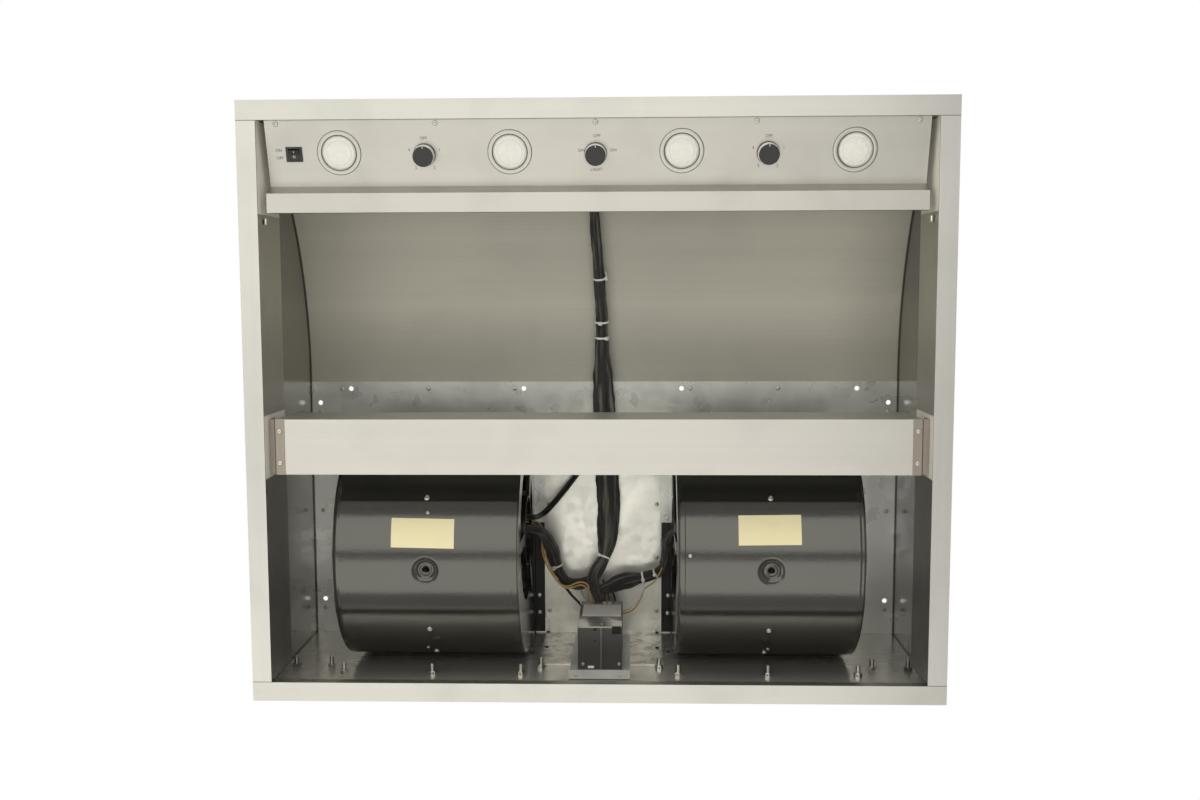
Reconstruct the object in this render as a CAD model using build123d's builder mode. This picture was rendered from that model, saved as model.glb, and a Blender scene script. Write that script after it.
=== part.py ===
from build123d import *
import math
import os

# Range hood insert: a stainless liner with an open mouth, a control strip at its front edge
# and two double-inlet blowers hung from its top. Millimetres. +Z is up as installed, the open
# mouth faces -Z, -Y is the cook's side and +X is to the cook's right as they face +Y.
# The origin is the centre of the bottom rim, on the rim's lowest face.

os.makedirs("parts", exist_ok=True)

# ---- shell -------------------------------------------------------------------------------
hood_width = 873.0
hood_depth = 748.0
hood_height = 305.0
sheet = 1.2  # gauge of every stainless and galvanised sheet of the liner
rim_width = 24.0
side_upstand_height = 90.0
end_upstand_height = 14.0
front_wall_top = 93.0  # where the upright front turns into the curve
canopy_depth = 359.0  # from the front edge back to where the curve runs out into the flat top
top_flange = 29.0  # flat of the curved sheet behind the curve
top_overlap = 22.0  # how far the top panel reaches over that flat
side_flange = 24.0

# ---- fasteners ---------------------------------------------------------------------------
screw_radius = 1.6
screw_hole_radius = 1.75
screw_head_radius = 3.2
screw_head_height = 1.8
screw_head_taper = 25.0
screw_length = 8.0
hanging_hole_radius = 3.5
front_row_inset = 11.5  # from the rear edge of the top flange
front_screw_inner_x = 130.0
front_screw_corner_inset = 48.0
hanging_hole_inner_x = 117.0
hanging_hole_corner_inset = 61.5
side_row_inset = 15.0
side_screw_front_inset = 23.0
side_screw_rear_inset = 38.5
side_hanging_front_inset = 9.5
side_hanging_rear_inset = 52.0

# ---- control panel -----------------------------------------------------------------------
panel_end_gap = 8.5  # between the panel's ends and the side rims' upstands
panel_front_z = 8.0
panel_front_leg = 10.0
panel_run = 78.0  # how far back the sloping face runs before its crease
crease_z = 30.0
band_run = 9.5  # how far the slanted band runs back before it meets the lip
lip_z = 10.0
lip_width = 23.5
lip_upstand = 13.0
panel_screw_end_inset = 14.0
panel_screw_inset = 4.2
panel_screw_length = 2.5

# ---- lamps, knobs and rocker on the control panel ----------------------------------------
end_lamp_inset = 89.0  # from the panel's end to the middle of the nearest lamp
lamp_distance = 39.5  # from the panel's front fold, along its face
lamp_bezel_radius = 27.0
lamp_bezel_height = 3.0
lamp_bezel_taper = 20.0
lamp_can_radius = 23.6
lamp_can_depth = 22.0
lamp_cavity_depth = 12.0
lens_radius = 20.0
lens_thickness = 2.0
lens_ledge = 1.5
hole_clearance = 0.5

knob_distance = 42.5
knob_radius = 14.0
knob_cap_radius = 12.8
knob_cap_taper = 2.0
knob_skirt_height = 3.2
knob_height = 13.0
knob_gap = 0.6
knob_recess_radius = 9.0
knob_recess_depth = 3.4
knob_index_width = 1.4
knob_index_depth = 0.6
switch_shaft_radius = 3.0
switch_shaft_length = 10.0
switch_bush_radius = 4.8
switch_nut_radius = 7.0
switch_nut_height = 2.0
switch_size = 28.0
switch_depth = 25.0
running_clearance = 0.05

rocker_end_inset = 33.5  # from the panel's end to the middle of the rocker
rocker_distance = 41.0
rocker_opening = 14.0
rocker_bezel_side = 3.0
rocker_bezel_end = 2.0
rocker_bezel_height = 1.6
rocker_side_wall = 2.0
rocker_end_wall = 1.0
rocker_body_depth = 16.0
rocker_cavity_depth = 9.0
rocker_gap = 0.2
rocker_tilt = 9.0
rocker_pivot_z = -1.0
rocker_pin_radius = 1.0
rocker_pin_length = 1.4
rocker_end_gap = 0.8
rocker_end_z = 2.9
rocker_mid_z = 1.9
rocker_belly_radius = 5.0

driver_x = 150.0
driver_length = 110.0
driver_thickness = 25.0
driver_height = 38.0
driver_corner = 3.0
driver_z = 45.0

# ---- middle rail -------------------------------------------------------------------------
rail_front_y = 16.5
rail_width = 69.5
rail_z = 13.0
rail_front_height = 85.0
rail_rear_height = 20.0
rail_end_gap = 9.5
rail_tab = 12.0
rail_screw_spacing = 40.0
bracket_step = 6.0
bracket_foot = 24.0
bracket_margin = 0.5

# ---- blowers -----------------------------------------------------------------------------
blower_outward_shift = 4.75  # each blower hangs this far outside the middle of its half
blower_width = 241.0
blower_sheet = 1.0
blower_back_gap = 7.8
wheel_radius = 110.0
scroll_growth = 45.0  # how much larger the scroll's radius is than the wheel's
scroll_drop = 102.6  # from the underside of the top panel to the scroll's centre
cut_off_gap = 2.6
wheel_forward_shift = 20.0  # from the scroll's centre to the wheel's
wheel_down_shift = 25.0
wheel_end_gap = 14.5
wheel_rim_width = 22.0
wheel_rim_thickness = 2.0
blade_count = 36
blade_chord = 17.6
blade_thickness = 1.0
blade_angle = 35.0
web_thickness = 1.6
web_edge_inset = 5.5
hub_radius = 16.0
hub_outer = 20.0
hub_inner = 12.0
inlet_overlap = 15.0  # how much smaller the inlet's radius is than the wheel's
inlet_lip = 8.0
motor_radius = 46.0
motor_hub_gap = 6.0
motor_recess = 8.5  # from the blower's inner face to the motor's end
motor_edge = 5.0
shaft_radius = 6.35
shaft_into_motor = 60.0
shaft_tail = 6.0
band_clearance = 0.3
band_thickness = 2.0
band_length = 30.0
arm_count = 3
arm_start_angle = 30.0
arm_width = 16.0
arm_overlap = 17.0
foot_width = 15.0
foot_height = 16.0
foot_front_inset = 6.0
foot_rear_overrun = 6.0  # past the back of the scroll
drain_radius = 5.0
drain_shift = 6.5
blower_screw_radius = 4.0
blower_screw_height = 2.5
blower_screw_angles = (-33.0, 36.0, 62.0)

# ---- duct collars and backdraft dampers --------------------------------------------------
collar_radius = 99.5
collar_wall = 0.9
collar_height = 60.0
collar_flange = 12.5
collar_cut_off_gap = 3.5  # between the collar's front and the scroll's cut-off
damper_pin_height = 28.0  # above the collar's flange
damper_pin_radius = 2.5
damper_barrel_radius = 5.0
damper_edge_gap = 4.0  # between a closed flap and the collar wall
damper_thickness = 1.0
damper_centre_gap = 6.5
damper_barrel_length = 23.4
damper_barrel_outer = 62.0
damper_barrel_inner = 38.0
damper_stop_count = 4
damper_stop_angle = 45.0
damper_stop_length = 9.0
damper_stop_width = 10.0
damper_stop_thickness = 1.5
seat_gap = 0.3

# ---- centre plate, junction box and back wall --------------------------------------------
centre_plate_side_gap = 1.5  # between the plate and the blowers' feet
centre_plate_front = 96.0
centre_plate_height = 154.6
centre_screw_inset = 5.5
centre_screw_y = (176.0, 256.5, 338.5)
box_width = 60.0
box_depth = 58.0
box_height = 130.0
box_drop = 52.6
box_wall = 2.0
box_cover = 2.0
bracket_plate_side = 11.0
bracket_plate_above = 30.0
bracket_plate_below = 35.0
bracket_lip = 12.0
stud_radius = 3.0
stud_length = 15.0
stud_nut_radius = 5.5
stud_nut_height = 5.0
lower_stud_z = 105.0
lower_stud_pitch = 120.0
lower_stud_shift = 3.0
upper_stud_z = 134.0
upper_stud_insets = (17.5, 66.5)  # from the liner's sides
upper_stud_plate_inset = 5.0

# ---- wiring ------------------------------------------------------------------------------
harness_radius = 8.0
harness_straight = 45.0  # the sleeve's straight run out of the switch
harness_bend_distance = 19.0  # how far in front of the junction box the sleeve turns into it
branch_radius = 5.0
lead_radius = 4.5
wire_share = 0.45  # share of the shorter run that an arc takes up on each side

# ---- derived places ----------------------------------------------------------------------
sides = (("left", -1), ("right", 1))
half_width = hood_width / 2
half_depth = hood_depth / 2
inner_half_width = half_width - sheet
rim_inner_x = half_width - rim_width
rim_inner_y = half_depth - rim_width
back_wall_y = half_depth - sheet
shelf_z = hood_height - sheet  # underside of the top flanges, where the top panel lies
ceiling_z = shelf_z - sheet  # underside of the top panel
canopy_tangent = -half_depth + canopy_depth
canopy_drop = hood_height - front_wall_top
canopy_radius = (canopy_depth**2 + canopy_drop**2) / (2 * canopy_drop)
top_flange_end = canopy_tangent + top_flange
top_panel_front = top_flange_end - top_overlap

front_row_y = top_flange_end - front_row_inset
front_screw_outer_x = half_width - front_screw_corner_inset
front_screw_x = (front_screw_inner_x, (front_screw_inner_x + front_screw_outer_x) / 2, front_screw_outer_x)
front_hanging_x = (hanging_hole_inner_x, half_width - hanging_hole_corner_inset)
side_row_x = half_width - side_row_inset
side_screw_front_y = top_flange_end + side_screw_front_inset
side_screw_rear_y = half_depth - side_screw_rear_inset
side_screw_y = (side_screw_front_y, (side_screw_front_y + side_screw_rear_y) / 2, side_screw_rear_y)
side_hanging_y = (top_flange_end + side_hanging_front_inset, half_depth - side_hanging_rear_inset)
front_screw_points = [(s * x, front_row_y) for s in (-1, 1) for x in front_screw_x]
front_hanging_points = [(s * x, front_row_y) for s in (-1, 1) for x in front_hanging_x]
side_screw_points = [(s * side_row_x, y) for s in (-1, 1) for y in side_screw_y]
side_hanging_points = [(s * side_row_x, y) for s in (-1, 1) for y in side_hanging_y]

panel_half_length = rim_inner_x - panel_end_gap
crease_y = -rim_inner_y + panel_run
lip_start_y = crease_y + band_run
lip_end_y = lip_start_y + lip_width
panel_rise = math.atan2(crease_z - panel_front_z, panel_run)
panel_normal = (0, math.sin(panel_rise), -math.cos(panel_rise))
panel_screw_x = [k * (panel_half_length - panel_screw_end_inset) / 2 for k in range(-2, 3)]
fitting_pitch = (panel_half_length - end_lamp_inset) / 3  # lamps and knobs alternate at this pitch
lamp_x = [fitting_pitch * k for k in (-3, -1, 1, 3)]
knob_x = [fitting_pitch * k for k in (-2, 0, 2)]
lens_seat = lamp_bezel_height - lens_ledge - lens_thickness
rocker_x = -panel_half_length + rocker_end_inset
rocker_body_x = rocker_opening + 2 * rocker_side_wall
rocker_body_y = rocker_opening + 2 * rocker_end_wall
rocker_half_length = rocker_opening / 2 - rocker_end_gap

rail_half_length = rim_inner_x - rail_end_gap
rail_screw_x = rail_half_length - rail_tab / 2
rail_middle_y = rail_front_y + rail_width / 2
rail_screw_y = [rail_middle_y + s * rail_screw_spacing / 2 for s in (-1, 1)]
rail_screw_points = [(s * rail_screw_x, y) for s in (-1, 1) for y in rail_screw_y]

blower_x = half_width / 2 + blower_outward_shift
blower_half = blower_width / 2
wrap_half = blower_half - blower_sheet
scroll_radius = wheel_radius + scroll_growth
scroll_top_radius = scroll_drop - cut_off_gap  # over the front of the wheel, up to the cut-off
scroll_back_y = back_wall_y - blower_back_gap
scroll_y = scroll_back_y - scroll_radius
scroll_front_y = scroll_y - scroll_radius
scroll_z = ceiling_z - scroll_drop
scroll_bottom = scroll_z - scroll_radius
cut_off_y = scroll_front_y + scroll_top_radius
cut_off_z = scroll_z + scroll_top_radius
wheel_y = scroll_y - wheel_forward_shift
wheel_z = scroll_z - wheel_down_shift
wheel_half = wrap_half - wheel_end_gap
blade_mid_radius = wheel_radius - wheel_rim_width / 2
inlet_radius = wheel_radius - inlet_overlap
motor_start = hub_inner + motor_hub_gap
motor_end = blower_half - motor_recess
foot_front_y = scroll_y - foot_front_inset
foot_rear_y = scroll_back_y + foot_rear_overrun

collar_y = cut_off_y + collar_radius + collar_cut_off_gap
collar_inner_radius = collar_radius - collar_wall
damper_pin_z = shelf_z + damper_pin_height
damper_stop_z = damper_pin_z - damper_thickness / 2 - seat_gap - damper_stop_thickness

centre_plate_half = blower_x - blower_half - foot_width - centre_plate_side_gap
centre_plate_y = back_wall_y - sheet
centre_screw_x = centre_plate_half - centre_screw_inset
centre_screw_points = [(s * centre_screw_x, y) for s in (-1, 1) for y in centre_screw_y]
box_top = ceiling_z - box_drop
box_bottom = box_top - box_height
box_middle_z = (box_bottom + box_top) / 2
box_back_y = centre_plate_y - sheet
box_front_y = box_back_y - box_depth
lower_stud_x = [blower_x + lower_stud_shift + k * lower_stud_pitch for k in (-1, 0, 1)]
upper_stud_x = [half_width - inset for inset in upper_stud_insets]
upper_stud_x.append(centre_plate_half - upper_stud_plate_inset)
stud_points = [(s * x, lower_stud_z) for s in (-1, 1) for x in lower_stud_x]
stud_points += [(s * x, upper_stud_z) for s in (-1, 1) for x in upper_stud_x]


def panel_plane(x, distance):
    """Plane on the control panel's lower face, X to the right and Y towards the front edge."""
    y = -rim_inner_y + distance * math.cos(panel_rise)
    z = panel_front_z + distance * math.sin(panel_rise)
    return Plane(origin=(x, y, z), x_dir=(1, 0, 0), z_dir=panel_normal)


def arc_radii(points):
    """Radius at each corner of a wire's route, from the shorter run and half the turn."""
    radii = []
    for before, corner, after in zip(points, points[1:], points[2:]):
        run_in = Vector(*corner) - Vector(*before)
        run_out = Vector(*after) - Vector(*corner)
        half_turn = math.radians(run_in.get_angle(run_out)) / 2
        radii.append(wire_share * min(run_in.length, run_out.length) / math.tan(half_turn))
    return radii


# ==== shell ===============================================================================
with BuildPart() as front_canopy:
    with BuildSketch(Plane.YZ) as canopy_section:
        with BuildLine():
            Line((-half_depth, sheet), (-half_depth, front_wall_top))
            RadiusArc((-half_depth, front_wall_top), (canopy_tangent, hood_height), canopy_radius)
            Line((canopy_tangent, hood_height), (top_flange_end, hood_height))
            offset(amount=sheet, side=Side.RIGHT)
        make_face()
    extrude(amount=inner_half_width, both=True)
    with BuildSketch(Plane.XY.offset(ceiling_z)):
        with Locations(*front_screw_points):
            Circle(screw_hole_radius)
        with Locations(*front_hanging_points):
            Circle(hanging_hole_radius)
    extrude(amount=3 * sheet, mode=Mode.SUBTRACT)
front_canopy.part.label = "front_canopy"
export_step(front_canopy.part, "parts/front_canopy.step")

for side, sign in sides:
    with BuildPart() as side_wall:
        with BuildSketch(Plane.YZ.offset(sign * half_width)):
            with BuildLine():
                RadiusArc((-half_depth, front_wall_top), (canopy_tangent, hood_height), canopy_radius)
                Polyline(
                    (canopy_tangent, hood_height),
                    (half_depth, hood_height),
                    (half_depth, sheet),
                    (-half_depth, sheet),
                    (-half_depth, front_wall_top),
                )
            make_face()
        extrude(amount=-sign * sheet)
        with BuildSketch(Plane.XY.offset(shelf_z)):
            with Locations((sign * (half_width - side_flange / 2), (top_flange_end + half_depth) / 2)):
                Rectangle(side_flange, half_depth - top_flange_end)
            with Locations(*[(sign * side_row_x, y) for y in side_screw_y]):
                Circle(screw_hole_radius, mode=Mode.SUBTRACT)
            with Locations(*[(sign * side_row_x, y) for y in side_hanging_y]):
                Circle(hanging_hole_radius, mode=Mode.SUBTRACT)
        extrude(amount=sheet)
    side_wall.part.label = f"{side}_side_wall"
    export_step(side_wall.part, f"parts/{side}_side_wall.step")

with BuildPart() as back_wall:
    with BuildSketch(Plane.XZ.offset(-back_wall_y)):
        with Locations((0, (sheet + ceiling_z) / 2)):
            Rectangle(2 * inner_half_width, ceiling_z - sheet)
    extrude(amount=-sheet)
back_wall.part.label = "back_wall"
export_step(back_wall.part, "parts/back_wall.step")

with BuildPart() as top_panel:
    with BuildSketch(Plane.XY.offset(ceiling_z)):
        with Locations((0, (top_panel_front + half_depth) / 2)):
            Rectangle(2 * inner_half_width, half_depth - top_panel_front)
        with Locations(*front_screw_points):
            Circle(screw_hole_radius, mode=Mode.SUBTRACT)
        with Locations(*front_hanging_points):
            Circle(hanging_hole_radius, mode=Mode.SUBTRACT)
        with Locations(*side_screw_points):
            Circle(screw_hole_radius, mode=Mode.SUBTRACT)
        with Locations(*side_hanging_points):
            Circle(hanging_hole_radius, mode=Mode.SUBTRACT)
        with Locations((-blower_x, collar_y), (blower_x, collar_y)):
            Circle(collar_inner_radius, mode=Mode.SUBTRACT)
        with Locations(*centre_screw_points):
            Circle(screw_hole_radius, mode=Mode.SUBTRACT)
    extrude(amount=sheet)
top_panel.part.label = "top_panel"
export_step(top_panel.part, "parts/top_panel.step")

for end, sign in (("front", -1), ("rear", 1)):
    with BuildPart() as end_rim:
        with BuildSketch(Plane.XY):
            with Locations((0, sign * (half_depth - rim_width / 2))):
                Rectangle(hood_width, rim_width)
        extrude(amount=sheet)
        with BuildSketch(Plane.XY.offset(sheet)):
            with Locations((0, sign * (rim_inner_y + sheet / 2))):
                Rectangle(2 * rim_inner_x, sheet)
        extrude(amount=end_upstand_height - sheet)
    end_rim.part.label = f"{end}_rim"
    export_step(end_rim.part, f"parts/{end}_rim.step")

for side, sign in sides:
    with BuildPart() as side_rim:
        with BuildSketch(Plane.XY):
            with Locations((sign * (half_width - rim_width / 2), 0)):
                Rectangle(rim_width, 2 * rim_inner_y)
        extrude(amount=sheet)
        with BuildSketch(Plane.XY.offset(sheet)):
            with Locations((sign * (rim_inner_x + sheet / 2), 0)):
                Rectangle(sheet, 2 * rim_inner_y)
        extrude(amount=side_upstand_height - sheet)
    side_rim.part.label = f"{side}_rim"
    export_step(side_rim.part, f"parts/{side}_rim.step")

# ==== control panel =======================================================================
with BuildPart() as control_panel:
    with BuildSketch(Plane.YZ):
        with BuildLine():
            Polyline(
                (-rim_inner_y, panel_front_z + panel_front_leg),
                (-rim_inner_y, panel_front_z),
                (crease_y, crease_z),
                (lip_start_y, lip_z),
                (lip_end_y, lip_z),
                (lip_end_y, lip_z + lip_upstand),
            )
            offset(amount=sheet, side=Side.LEFT)
        make_face()
    extrude(amount=panel_half_length, both=True)
    for x in lamp_x:
        with BuildSketch(panel_plane(x, lamp_distance)):
            Circle(lamp_can_radius + hole_clearance)
        extrude(amount=-2 * sheet, mode=Mode.SUBTRACT)
    for x in knob_x:
        with BuildSketch(panel_plane(x, knob_distance)):
            Circle(switch_bush_radius + hole_clearance)
        extrude(amount=-2 * sheet, mode=Mode.SUBTRACT)
    with BuildSketch(panel_plane(rocker_x, rocker_distance)):
        Rectangle(rocker_body_x + 2 * hole_clearance, rocker_body_y + 2 * hole_clearance)
    extrude(amount=-2 * sheet, mode=Mode.SUBTRACT)
    for x in panel_screw_x:
        with BuildSketch(panel_plane(x, panel_screw_inset)):
            Circle(screw_hole_radius)
        extrude(amount=-2 * sheet, mode=Mode.SUBTRACT)
control_panel.part.label = "control_panel"
export_step(control_panel.part, "parts/control_panel.step")

with BuildPart() as lamp_lenses:
    for x in lamp_x:
        with BuildSketch(panel_plane(x, lamp_distance).offset(lens_seat)):
            Circle(lens_radius)
        extrude(amount=lens_thickness)
lamp_lenses.part.label = "lamp_lenses"
export_step(lamp_lenses.part, "parts/lamp_lenses.step")

for number, x in enumerate(lamp_x, start=1):
    face = panel_plane(x, lamp_distance)
    with BuildPart() as lamp_housing:
        with BuildSketch(face):
            Circle(lamp_bezel_radius)
        extrude(amount=lamp_bezel_height, taper=lamp_bezel_taper)
        with BuildSketch(face.offset(-lamp_can_depth)):
            Circle(lamp_can_radius)
        extrude(amount=lamp_can_depth)
        with BuildSketch(face.offset(lens_seat)):
            Circle(lens_radius + running_clearance)
        extrude(amount=lamp_bezel_height, mode=Mode.SUBTRACT)
        with BuildSketch(face.offset(-lamp_cavity_depth)):
            Circle(lens_radius - lens_ledge)
        extrude(amount=lamp_cavity_depth + lens_seat, mode=Mode.SUBTRACT)
    lamp_housing.part.label = f"lamp_housing_{number}"
    export_step(lamp_housing.part, f"parts/lamp_housing_{number}.step")

for name, x in zip(("left_speed_knob", "light_knob", "right_speed_knob"), knob_x):
    face = panel_plane(x, knob_distance)
    with BuildPart() as knob:
        with BuildSketch(face.offset(knob_gap)):
            Circle(knob_radius)
        extrude(amount=knob_skirt_height)
        with BuildSketch(face.offset(knob_gap + knob_skirt_height)):
            Circle(knob_cap_radius)
        extrude(amount=knob_height - knob_skirt_height, taper=knob_cap_taper)
        with BuildSketch(face.offset(knob_gap)):
            Circle(knob_recess_radius)
        extrude(amount=knob_recess_depth, mode=Mode.SUBTRACT)
        with BuildSketch(face.offset(knob_gap)):
            Circle(switch_shaft_radius + running_clearance)
        extrude(amount=switch_shaft_length, mode=Mode.SUBTRACT)
        with BuildSketch(face.offset(knob_gap + knob_height - knob_index_depth)):
            with Locations((0, knob_cap_radius / 2)):
                Rectangle(knob_index_width, knob_cap_radius)
        extrude(amount=2 * knob_index_depth, mode=Mode.SUBTRACT)
    knob.part.label = name
    export_step(knob.part, f"parts/{name}.step")

with BuildPart() as rotary_switches:
    for x in knob_x:
        face = panel_plane(x, knob_distance)
        with BuildSketch(face.offset(-sheet - switch_depth)):
            Rectangle(switch_size, switch_size)
        extrude(amount=switch_depth)
        with BuildSketch(face.offset(-sheet)):
            Circle(switch_bush_radius)
        extrude(amount=sheet)
        with BuildSketch(face):
            RegularPolygon(switch_nut_radius, 6)
        extrude(amount=switch_nut_height)
        with BuildSketch(face):
            Circle(switch_shaft_radius)
        extrude(amount=switch_shaft_length)
rotary_switches.part.label = "rotary_switches"
export_step(rotary_switches.part, "parts/rotary_switches.step")

rocker_face = panel_plane(rocker_x, rocker_distance)
rocker_side = Plane(origin=rocker_face.origin, x_dir=rocker_face.y_dir, z_dir=rocker_face.x_dir)
with BuildPart() as rocker_housing:
    with BuildSketch(rocker_face):
        Rectangle(rocker_opening + 2 * rocker_bezel_side, rocker_opening + 2 * rocker_bezel_end)
    extrude(amount=rocker_bezel_height)
    with BuildSketch(rocker_face.offset(-rocker_body_depth)):
        Rectangle(rocker_body_x, rocker_body_y)
    extrude(amount=rocker_body_depth)
    with BuildSketch(rocker_face.offset(-rocker_cavity_depth)):
        Rectangle(rocker_opening, rocker_opening)
    extrude(amount=rocker_cavity_depth + rocker_bezel_height, mode=Mode.SUBTRACT)
    with BuildSketch(rocker_side):
        with Locations((0, rocker_pivot_z)):
            Circle(rocker_pin_radius + running_clearance)
    extrude(amount=rocker_opening / 2 + rocker_pin_length, both=True, mode=Mode.SUBTRACT)
rocker_housing.part.label = "rocker_housing"
export_step(rocker_housing.part, "parts/rocker_housing.step")

with BuildPart() as rocker_paddle:
    with BuildSketch(rocker_side):
        with BuildLine(Location((0, rocker_pivot_z), rocker_tilt)):
            Polyline(
                (-rocker_belly_radius, 0),
                (-rocker_half_length, -rocker_pivot_z),
                (-rocker_half_length, rocker_end_z - rocker_pivot_z),
                (0, rocker_mid_z - rocker_pivot_z),
                (rocker_half_length, rocker_end_z - rocker_pivot_z),
                (rocker_half_length, -rocker_pivot_z),
                (rocker_belly_radius, 0),
            )
            ThreePointArc((-rocker_belly_radius, 0), (0, -rocker_belly_radius), (rocker_belly_radius, 0))
        make_face()
    extrude(amount=rocker_opening / 2 - rocker_gap, both=True)
    with BuildSketch(rocker_side):
        with Locations((0, rocker_pivot_z)):
            Circle(rocker_pin_radius)
    extrude(amount=rocker_opening / 2 + rocker_pin_length - rocker_gap, both=True)
rocker_paddle.part.label = "rocker_paddle"
export_step(rocker_paddle.part, "parts/rocker_paddle.step")

with BuildPart() as led_driver:
    with BuildSketch(Plane.XY.offset(driver_z)):
        with Locations((driver_x, -back_wall_y + driver_thickness / 2)):
            Rectangle(driver_length, driver_thickness)
    extrude(amount=driver_height)
    fillet(led_driver.edges().filter_by(Axis.Z), radius=driver_corner)
led_driver.part.label = "led_driver"
export_step(led_driver.part, "parts/led_driver.step")

# ==== middle rail and its end brackets ====================================================
with BuildPart() as mid_rail:
    with BuildSketch(Plane.YZ):
        with BuildLine():
            Polyline(
                (rail_front_y, rail_z + rail_front_height),
                (rail_front_y, rail_z),
                (rail_front_y + rail_width, rail_z),
                (rail_front_y + rail_width, rail_z + rail_rear_height),
            )
            offset(amount=sheet, side=Side.LEFT)
        make_face()
    extrude(amount=rail_half_length - sheet, both=True)
    with BuildSketch(Plane.XY.offset(rail_z)):
        with Locations(*rail_screw_points):
            Circle(screw_hole_radius)
    extrude(amount=sheet, mode=Mode.SUBTRACT)
mid_rail.part.label = "mid_rail"
export_step(mid_rail.part, "parts/mid_rail.step")

for side, sign in sides:
    with BuildPart() as rail_bracket:
        with BuildSketch(Plane.XZ.offset(-rail_front_y - bracket_margin)):
            with BuildLine():
                Polyline(
                    (sign * (rail_half_length - rail_tab), rail_z - sheet),
                    (sign * rail_half_length, rail_z - sheet),
                    (sign * rail_half_length, rail_z + bracket_step),
                    (sign * rim_inner_x, rail_z + bracket_step),
                    (sign * rim_inner_x, rail_z + bracket_step + bracket_foot),
                )
                offset(amount=sheet, side=Side.LEFT if sign > 0 else Side.RIGHT)
            make_face()
        extrude(amount=-(rail_width - 2 * bracket_margin))
        with BuildSketch(Plane.XY.offset(rail_z - sheet)):
            with Locations(*rail_screw_points):
                Circle(screw_hole_radius)
        extrude(amount=sheet, mode=Mode.SUBTRACT)
    rail_bracket.part.label = f"{side}_rail_bracket"
    export_step(rail_bracket.part, f"parts/{side}_rail_bracket.step")

# ==== centre plate and junction box =======================================================
with BuildPart() as centre_plate:
    with BuildSketch(Plane.YZ):
        with BuildLine():
            Polyline(
                (centre_plate_front, ceiling_z),
                (back_wall_y, ceiling_z),
                (back_wall_y, ceiling_z - centre_plate_height),
            )
            offset(amount=sheet, side=Side.RIGHT)
        make_face()
    extrude(amount=centre_plate_half, both=True)
    with BuildSketch(Plane.XY.offset(ceiling_z - sheet)):
        with Locations(*centre_screw_points):
            Circle(screw_hole_radius)
    extrude(amount=sheet, mode=Mode.SUBTRACT)
centre_plate.part.label = "centre_plate"
export_step(centre_plate.part, "parts/centre_plate.step")

with BuildPart() as junction_box_bracket:
    with BuildSketch(Plane.YZ):
        with BuildLine():
            Polyline(
                (centre_plate_y, box_top + bracket_plate_above),
                (centre_plate_y, box_bottom - bracket_plate_below),
                (centre_plate_y - bracket_lip, box_bottom - bracket_plate_below),
            )
            offset(amount=sheet, side=Side.RIGHT)
        make_face()
    extrude(amount=box_width / 2 + bracket_plate_side, both=True)
junction_box_bracket.part.label = "junction_box_bracket"
export_step(junction_box_bracket.part, "parts/junction_box_bracket.step")

with BuildPart() as junction_box:
    with BuildSketch(Plane.XZ.offset(-box_back_y)):
        with Locations((0, box_middle_z)):
            Rectangle(box_width, box_top - box_bottom)
    extrude(amount=box_depth)
    with BuildSketch(Plane.XZ.offset(-box_back_y + box_wall)):
        with Locations((0, box_middle_z)):
            Rectangle(box_width - 2 * box_wall, box_top - box_bottom - 2 * box_wall)
    extrude(amount=box_depth, mode=Mode.SUBTRACT)
junction_box.part.label = "junction_box"
export_step(junction_box.part, "parts/junction_box.step")

with BuildPart() as junction_box_cover:
    with BuildSketch(Plane.XZ.offset(-box_front_y)):
        with Locations((0, box_middle_z)):
            RectangleRounded(box_width, box_top - box_bottom, box_wall)
    extrude(amount=box_cover)
junction_box_cover.part.label = "junction_box_cover"
export_step(junction_box_cover.part, "parts/junction_box_cover.step")

# ==== blowers =============================================================================
# The scroll's outline, in Y and Z: its back, its bottom, its front and the cut-off.
wrap_back = (scroll_back_y, scroll_z)
wrap_bottom = (scroll_y, scroll_bottom)
wrap_front = (scroll_front_y, scroll_z)
cut_off = (cut_off_y, cut_off_z)

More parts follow.
